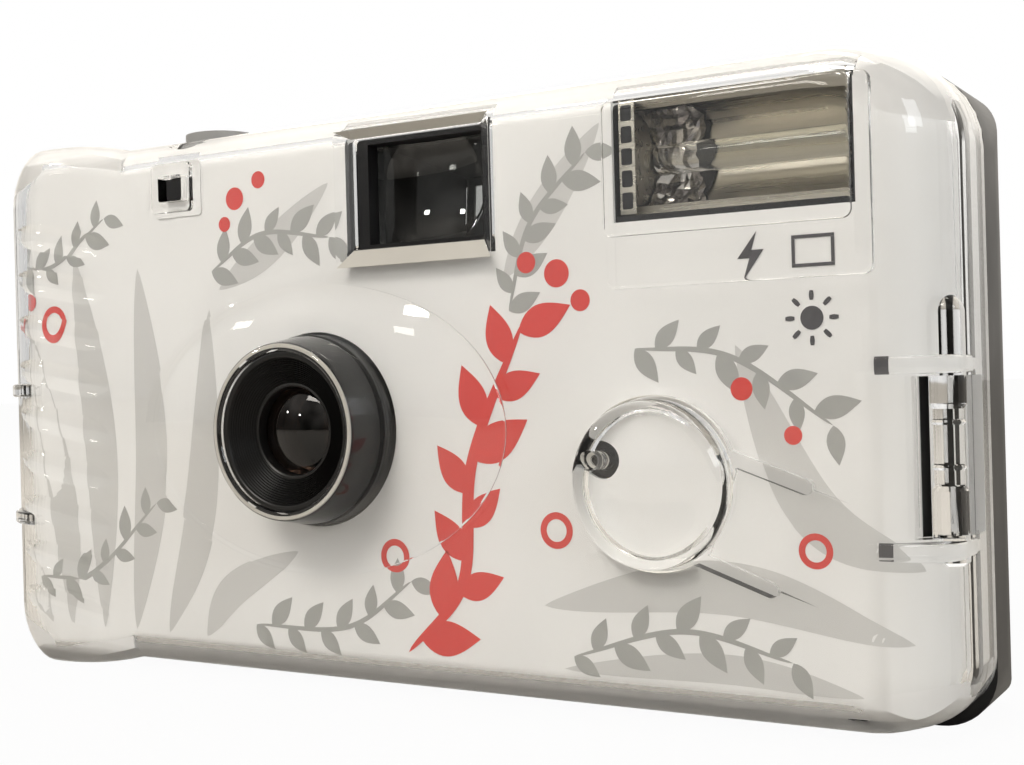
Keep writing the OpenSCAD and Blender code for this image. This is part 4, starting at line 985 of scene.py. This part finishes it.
# Black blocks on the strip paint the shade seen in its slots.
slot = block("strip_slot_shade", (29.0, 46.5), (30.05, 48.0), 0.2, -10.8, -10.9, 0.03)
slot_sizes = {"Count": 5, "Pitch": 1.98 * MM}
slot_tree, given, add = node_tree("row_strip_slots", slot_sizes)
repeat(add, black_plastic, Points=upwards(add, given), Instance=given["Geometry"])
slot_shade_row = grown("strip_slot_shade", slot, slot_tree, slot_sizes)
finish_piece(polish(slot_shade_row), "camera", black_plastic)
print("flash: trough, foil of", len(foil.data.polygons), "faces, strip with 5 slots")

# %% [markdown]
# ## The print on the card
# A card like this is printed flat and folded afterwards, so the print is drawn flat here too:
# u runs along the sheet and v up it, both in millimetres. Strokes have a width that swells and
# fades, as a brush makes them. The leaves of a sprig are one leaf repeated along a stem, turned
# to the left and to the right in turn, which again is work for Geometry Nodes. Each ink becomes
# one thin layer that is trimmed at the card's openings and then folded with the card.

# %% Strokes
def curve_through(points, count):
    """Even steps along a smooth curve through a few points."""
    pts = [Vector((u, v, 0)) for u, v in points]
    pts = [2 * pts[0] - pts[1]] + pts + [2 * pts[-1] - pts[-2]]
    spans, line = len(pts) - 3, []
    for k in range(count + 1):
        i = min(int(k / count * spans), spans - 1)
        t = k / count * spans - i
        a, b, c, d = pts[i:i + 4]
        line.append((2 * b + (c - a) * t + (2 * a - 5 * b + 4 * c - d) * t * t
                     + (3 * b - a - 3 * c + d) * t ** 3) / 2)
    return line


def stroke(points, width, shape=1.0, least=0.0, count=48):
    """A flat stroke that swells to its width in the middle. Returns points and faces."""
    line = curve_through(points, count)
    verts = []
    for k, p in enumerate(line):
        ahead_by = (line[min(k + 1, count)] - line[max(k - 1, 0)]).normalized()
        half = width / 2 * max(least, math.sin(math.pi * k / count) ** shape)
        out = half * Vector((-ahead_by.y, ahead_by.x, 0))
        verts += [p - out, p + out]
    return verts, [(2 * k, 2 * k + 2, 2 * k + 3, 2 * k + 1) for k in range(count)]


def disc(u, v, r, hole=0.0, count=32):
    """A flat disc, or a ring when it has a hole."""
    verts = [Vector((*p, 0)) for q in (hole, r) for p in arc(u, v, q, 0, 360, count)[:-1]]
    return verts, [(k, count + k, count + (k + 1) % count, (k + 1) % count) for k in range(count)]


def flat_mesh(name, shapes):
    """One flat mesh of many shapes, each given as points and faces."""
    verts, faces = [], []
    for points, corners in shapes:
        faces += [tuple(len(verts) + c for c in face) for face in corners]
        verts += points
    return plain(name, verts, faces=faces)


# %% Inks
def ink(name, colour):
    """A flat printed colour with the card's fibres in it."""
    return opaque(name, fibre, tuple(0.94 * c for c in colour), colour, bump=0.1, reach=0.01, rough=0.42)


pale_ink = ink("pale_grey_ink", (0.60, 0.595, 0.585))
grey_ink = ink("grey_ink", (0.37, 0.37, 0.355))
red_ink = ink("red_ink", (0.66, 0.045, 0.035))
dark_ink = ink("dark_ink", (0.06, 0.055, 0.06))
print("4 inks")

# %% Sprig as nodes
# Leaves stand along a stem, alternately to the left and to the right, a little uneven in size.
STEM_STEPS = 40
sprig_sizes = {"Leaves": 11, "Length": 3.6 * MM, "Width": 1.7 * MM, "Spread": 0.85, "Seed": 3}
sprig_tree, given, add = node_tree("leaf_sprig", sprig_sizes)
along = add("GeometryNodeCurveToPoints", mode="COUNT", Count=given["Leaves"],
            Curve=add("GeometryNodeMeshToCurve", given["Geometry"])).outputs
heading = add("ShaderNodeSeparateXYZ", along["Tangent"]).outputs
angle = maths(add, "ARCTAN2", heading["Y"], heading["X"])
odd = maths(add, "MODULO", add("GeometryNodeInputIndex"), 2.0)
side = add("ShaderNodeMapRange", odd, 0.0, 1.0, -1.0, 1.0)
turn = maths(add, "MULTIPLY_ADD", side, given["Spread"], angle)
grid = add("GeometryNodeMeshGrid", Vertices_X=15, Vertices_Y=3)
place = add("ShaderNodeSeparateXYZ", add("GeometryNodeInputPosition")).outputs
reach = maths(add, "ADD", place["X"], 0.5)
early = maths(add, "POWER", reach, 0.8)
half_turn = maths(add, "MULTIPLY", early, math.pi)
swell = maths(add, "SINE", half_turn)
wide = maths(add, "MULTIPLY", swell, given["Width"])
across = maths(add, "MULTIPLY", wide, place["Y"])
length = maths(add, "MULTIPLY", reach, given["Length"])
leaf = add("GeometryNodeSetPosition", Geometry=grid, Position=add("ShaderNodeCombineXYZ", length, across))
uneven = add("FunctionNodeRandomValue", None, None, 0.8, 1.15, data_type="FLOAT", Seed=given["Seed"])
repeat(add, grey_ink, Points=along["Points"], Instance=leaf, Scale=uneven.outputs[1],
       Rotation=add("ShaderNodeCombineXYZ", Z=turn))


def sprig(name, points, **sizes):
    """The leaves of one sprig as flat points and faces."""
    path = plain(name, curve_through(points, STEM_STEPS), edges=[(k, k + 1) for k in range(STEM_STEPS)])
    leaves = grown(name, path, sprig_tree, {**sprig_sizes, **sizes})
    shape = ([v.co / MM for v in leaves.data.vertices], [tuple(f.vertices) for f in leaves.data.polygons])
    bpy.data.objects.remove(leaves)
    return shape


# %% Shapes of the print
pale = [stroke(points, width, 0.75) for points, width in (
    (((-46, 4.8), (-49, 10), (-51.5, 15)), 3.0), (((-42.5, 4.8), (-44, 20), (-49.5, 40)), 4.5),
    (((-37.5, 4.8), (-37.5, 26), (-41, 47)), 5.0), (((-32.5, 4.8), (-29.5, 24), (-31, 45)), 5.0),
    (((-27.5, 4.8), (-22.5, 18), (-20.5, 40)), 4.5), (((-22, 4.8), (-18, 10), (-9, 14.5)), 3.6),
    (((50, 4.6), (38, 6), (22, 4.8)), 2.6), (((54, 9), (38, 13), (20, 10.5)), 4.6),
    (((55, 15), (46, 20), (39.5, 34)), 4.6), (((16.5, 41), (21, 47), (27, 54.5)), 3.5),
    (((-19, 42), (-12, 46), (-4, 52)), 3.5))]
SPRIGS = (((-20, 44), (-13, 47.5), (-4, 46.5)), ((17, 38), (19.5, 46), (25.5, 52)),
          ((-15, 6.5), (-3, 7), (5, 12)), ((-53, 47), (-45, 46), (-36, 51)),
          ((30, 34), (39, 33), (48, 27)), ((23, 6), (34, 9), (44, 7)), ((-48, 10), (-39, 11), (-29, 19)))
grey = [sprig(f"sprig_{k}", points, Seed=k + 3) for k, points in enumerate(SPRIGS)]
grey_stems = [stroke(points, 0.5, 0.4) for points in SPRIGS]
red_stems = [stroke(((4.5, 5), (11, 12), (12.5, 24), (18.5, 37)), 1.3, 0.5)]
red = [sprig("red_leaves", ((6, 6.5), (11, 12), (12.5, 24), (18, 36)),
             Length=6.4 * MM, Width=3.2 * MM, Spread=0.75, Seed=21)]
red += [disc(u, v, r) for u, v, r in (
    (22.2, 41.2, 1.3), (19.0, 42.4, 1.0), (24.6, 38.6, 1.0), (-51.5, 39.5, 1.4), (-48.8, 42.2, 1.1),
    (-54, 43, 0.9), (-16.5, 51.5, 1.2), (-13.2, 53.2, 0.9), (-18, 48.9, 0.8), (40, 30.2, 1.0),
    (44.5, 26.2, 0.8))]
red += [disc(u, v, r, r * 0.62) for u, v, r in (
    (-44.5, 39.5, 2.0), (3.2, 14.5, 1.7), (21.5, 17.5, 1.7), (46.2, 16.5, 1.5))]
SUN, FRAME_LINE, BAR = (46.4, 36.0), (0.3, 0.1, 1.0, 4), (1.1, 0.1, 1.0, 8)
dark = [disc(*SUN, 1.0)]
rays = zip(arc(*SUN, 1.5, 0, 315, 7), arc(*SUN, 2.3, 0, 315, 7))
dark += [stroke(ends, 0.42, 0.3, 0.7, 4) for ends in rays]
bolt = ((0.6, 2.0), (-1.2, -0.3), (-0.1, -0.3), (-0.7, -2.2), (1.2, 0.4), (0.1, 0.4))
dark.append(([Vector((41.2 + u, 41.6 + v, 0)) for u, v in bolt], [tuple(range(len(bolt)))]))
dark += [stroke(ends, *FRAME_LINE) for ends in (
    ((44.85, 40.4), (48.55, 40.4)), ((44.85, 42.8), (48.55, 42.8)),
    ((45, 40.56), (45, 42.64)), ((48.4, 40.56), (48.4, 42.64)))]
dark += [stroke(((51.5, v), (52.7, v)), *BAR) for v in (31.85, 16.75)]
print("strokes:", len(pale), "pale,", len(grey), "grey,", len(red), "red,", len(dark), "dark")

# %% Trim and fold
OPENINGS = ((-2.2, 43.7, 15.7, 60), (28.4, 45.3, 50.4, 60), (-27.5, 50.8, -21.5, 60),
            (54.8, 17.6, 75, 31.0), (-75, 15.9, -52.4, 32.2))
CARD_IN, FOLD_R = 1.45, 1.63


def folded(u, v, lift):
    """Where a point of the flat sheet lies on the folded card, lifted off it by the ink."""
    low, high = LOW + CARD_IN + FOLD_R, HIGH - CARD_IN - FOLD_R
    x, y, edge = u, FRONT + CARD_IN - lift, FOLD_R + lift
    for outer_r, way in ((CORNER["grip"], -1), (CORNER["end"], 1)):
        corner, r = way * (HALF - outer_r), outer_r - CARD_IN + lift
        if way * (u - corner) > 0:
            turn = way * (u - corner) / r
            x, y = corner + way * r * math.sin(turn), FRONT + outer_r - r * math.cos(turn)
    over = max(v - high, low - v, 0.0) / edge
    z = min(max(v, low), high) + (edge * math.sin(over) if v > high else -edge * math.sin(over))
    return Vector((x, y + edge * (1 - math.cos(over)), z)) * MM


def print_layer(name, shapes, finish, lift):
    """One ink on the card: trimmed at the openings, folded, and joined to the card's body."""
    obj = flat_mesh(name, shapes)
    with editing(obj.data) as bm:
        for u0, v0, u1, v1 in OPENINGS:
            for at, way in (((u0, 0, 0), (1, 0, 0)), ((u1, 0, 0), (1, 0, 0)),
                            ((0, v0, 0), (0, 1, 0)), ((0, v1, 0), (0, 1, 0))):
                bmesh.ops.bisect_plane(bm, geom=bm.verts[:] + bm.edges[:] + bm.faces[:],
                                       plane_co=Vector(at) * MM, plane_no=way)
            inside = [f for f in bm.faces if u0 * MM < f.calc_center_median().x < u1 * MM
                      and v0 * MM < f.calc_center_median().y < v1 * MM]
            bmesh.ops.delete(bm, geom=inside, context="FACES")
        for vert in bm.verts:
            vert.co = folded(vert.co.x / MM, vert.co.y / MM, lift)
        for face in bm.faces:
            face.smooth = True
    return finish_piece(obj, "camera", finish)


for name, shapes, finish, lift in (
        ("print_pale", pale, pale_ink, 0.016), ("print_grey", grey, grey_ink, 0.022),
        ("print_grey_stems", grey_stems, grey_ink, 0.028), ("print_red", red, red_ink, 0.034),
        ("print_red_stem", red_stems, red_ink, 0.040), ("print_dark", dark, dark_ink, 0.046)):
    layer = print_layer(name, shapes, finish, lift)
    print(name, len(layer.data.polygons), "faces")


# %% [markdown]
# ## The pieces inside
# The pieces that are left keep their solids, because little or nothing of them shows. They still
# get the finish that the real ones have.

# %% Finishes for the inner solids
INNER = (
    (black_plastic, "chassis", "mechanism_deck", "thumbwheel", "cartridge_spool", "supply_spool"),
    (white_plastic, "striker_lever", "sprocket_shaft", "counter_disc"), (grey_plastic, "release_button"),
    (blackened_steel, "aperture_plate", "shutter_blade"), (spring_steel, "blade_spring", "striker_spring"),
    (plated_steel, "positive_contact", "negative_contact"), (brass, "charge_contact"),
    (copper, "trigger_coil"), (cartridge_metal, "cartridge_shell"), (cap_metal, "cartridge_caps"),
    (film_base, "film_strip", "film_roll"), (optical_plastic, "counter_window", "finder_eyepiece"),
    (flash_glass, "flash_tube"), (lamp_orange, "ready_lamp"), (board_resin, "circuit_board"),
    (sleeve_blue, "flash_capacitor"), (tape_amber, "transformer"), (cell_green, "battery_cell"))
for finish, *nodes in INNER:
    for node in nodes:
        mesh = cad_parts[node].data
        mesh.materials.clear()
        mesh.materials.append(finish)
print(sum(len(nodes) for _, *nodes in INNER), "inner solids with a finish")

# %% [markdown]
# ## The release spring
# A coil of spring wire under the release button. It is swept along a helix, with a flat turn at
# each end.

# %% Coil
WIRE, TURNS, PRESS, COIL_STEPS, SIDES = 0.28, 5.0, 1.3, 200, 8
(low_x, low_y, low_z), (high_x, high_y, high_z) = [
    [c / MM for c in corner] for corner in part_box("release_spring")]
mid_x, mid_y, tall = (low_x + high_x) / 2, (low_y + high_y) / 2, high_z - low_z
coil_r = (high_x - low_x) / 2 - WIRE
rings = []
for k in range(COIL_STEPS + 1):
    s = k / COIL_STEPS
    climb = min(1.0, max(0.0, (s * (TURNS + 2) - 1) / TURNS))
    turn = 2 * math.pi * (TURNS + 2) * s
    z = low_z + WIRE + climb * (tall - 2 * WIRE)
    ring = []
    for a in (2 * math.pi * j / SIDES for j in range(SIDES)):
        r = coil_r + WIRE * math.cos(a)
        ring.append((mid_x + r * math.cos(turn), mid_y + r * math.sin(turn), z + WIRE * math.sin(a)))
    rings.append(ring)
coil = finish_piece(polish(loft("release_spring_coil", rings)), "camera", spring_steel,
                    ["release_spring"])
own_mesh(coil)
print("coil", round(tall, 2), "mm tall")

# %% Bring the scene up to date
bpy.context.view_layer.update()
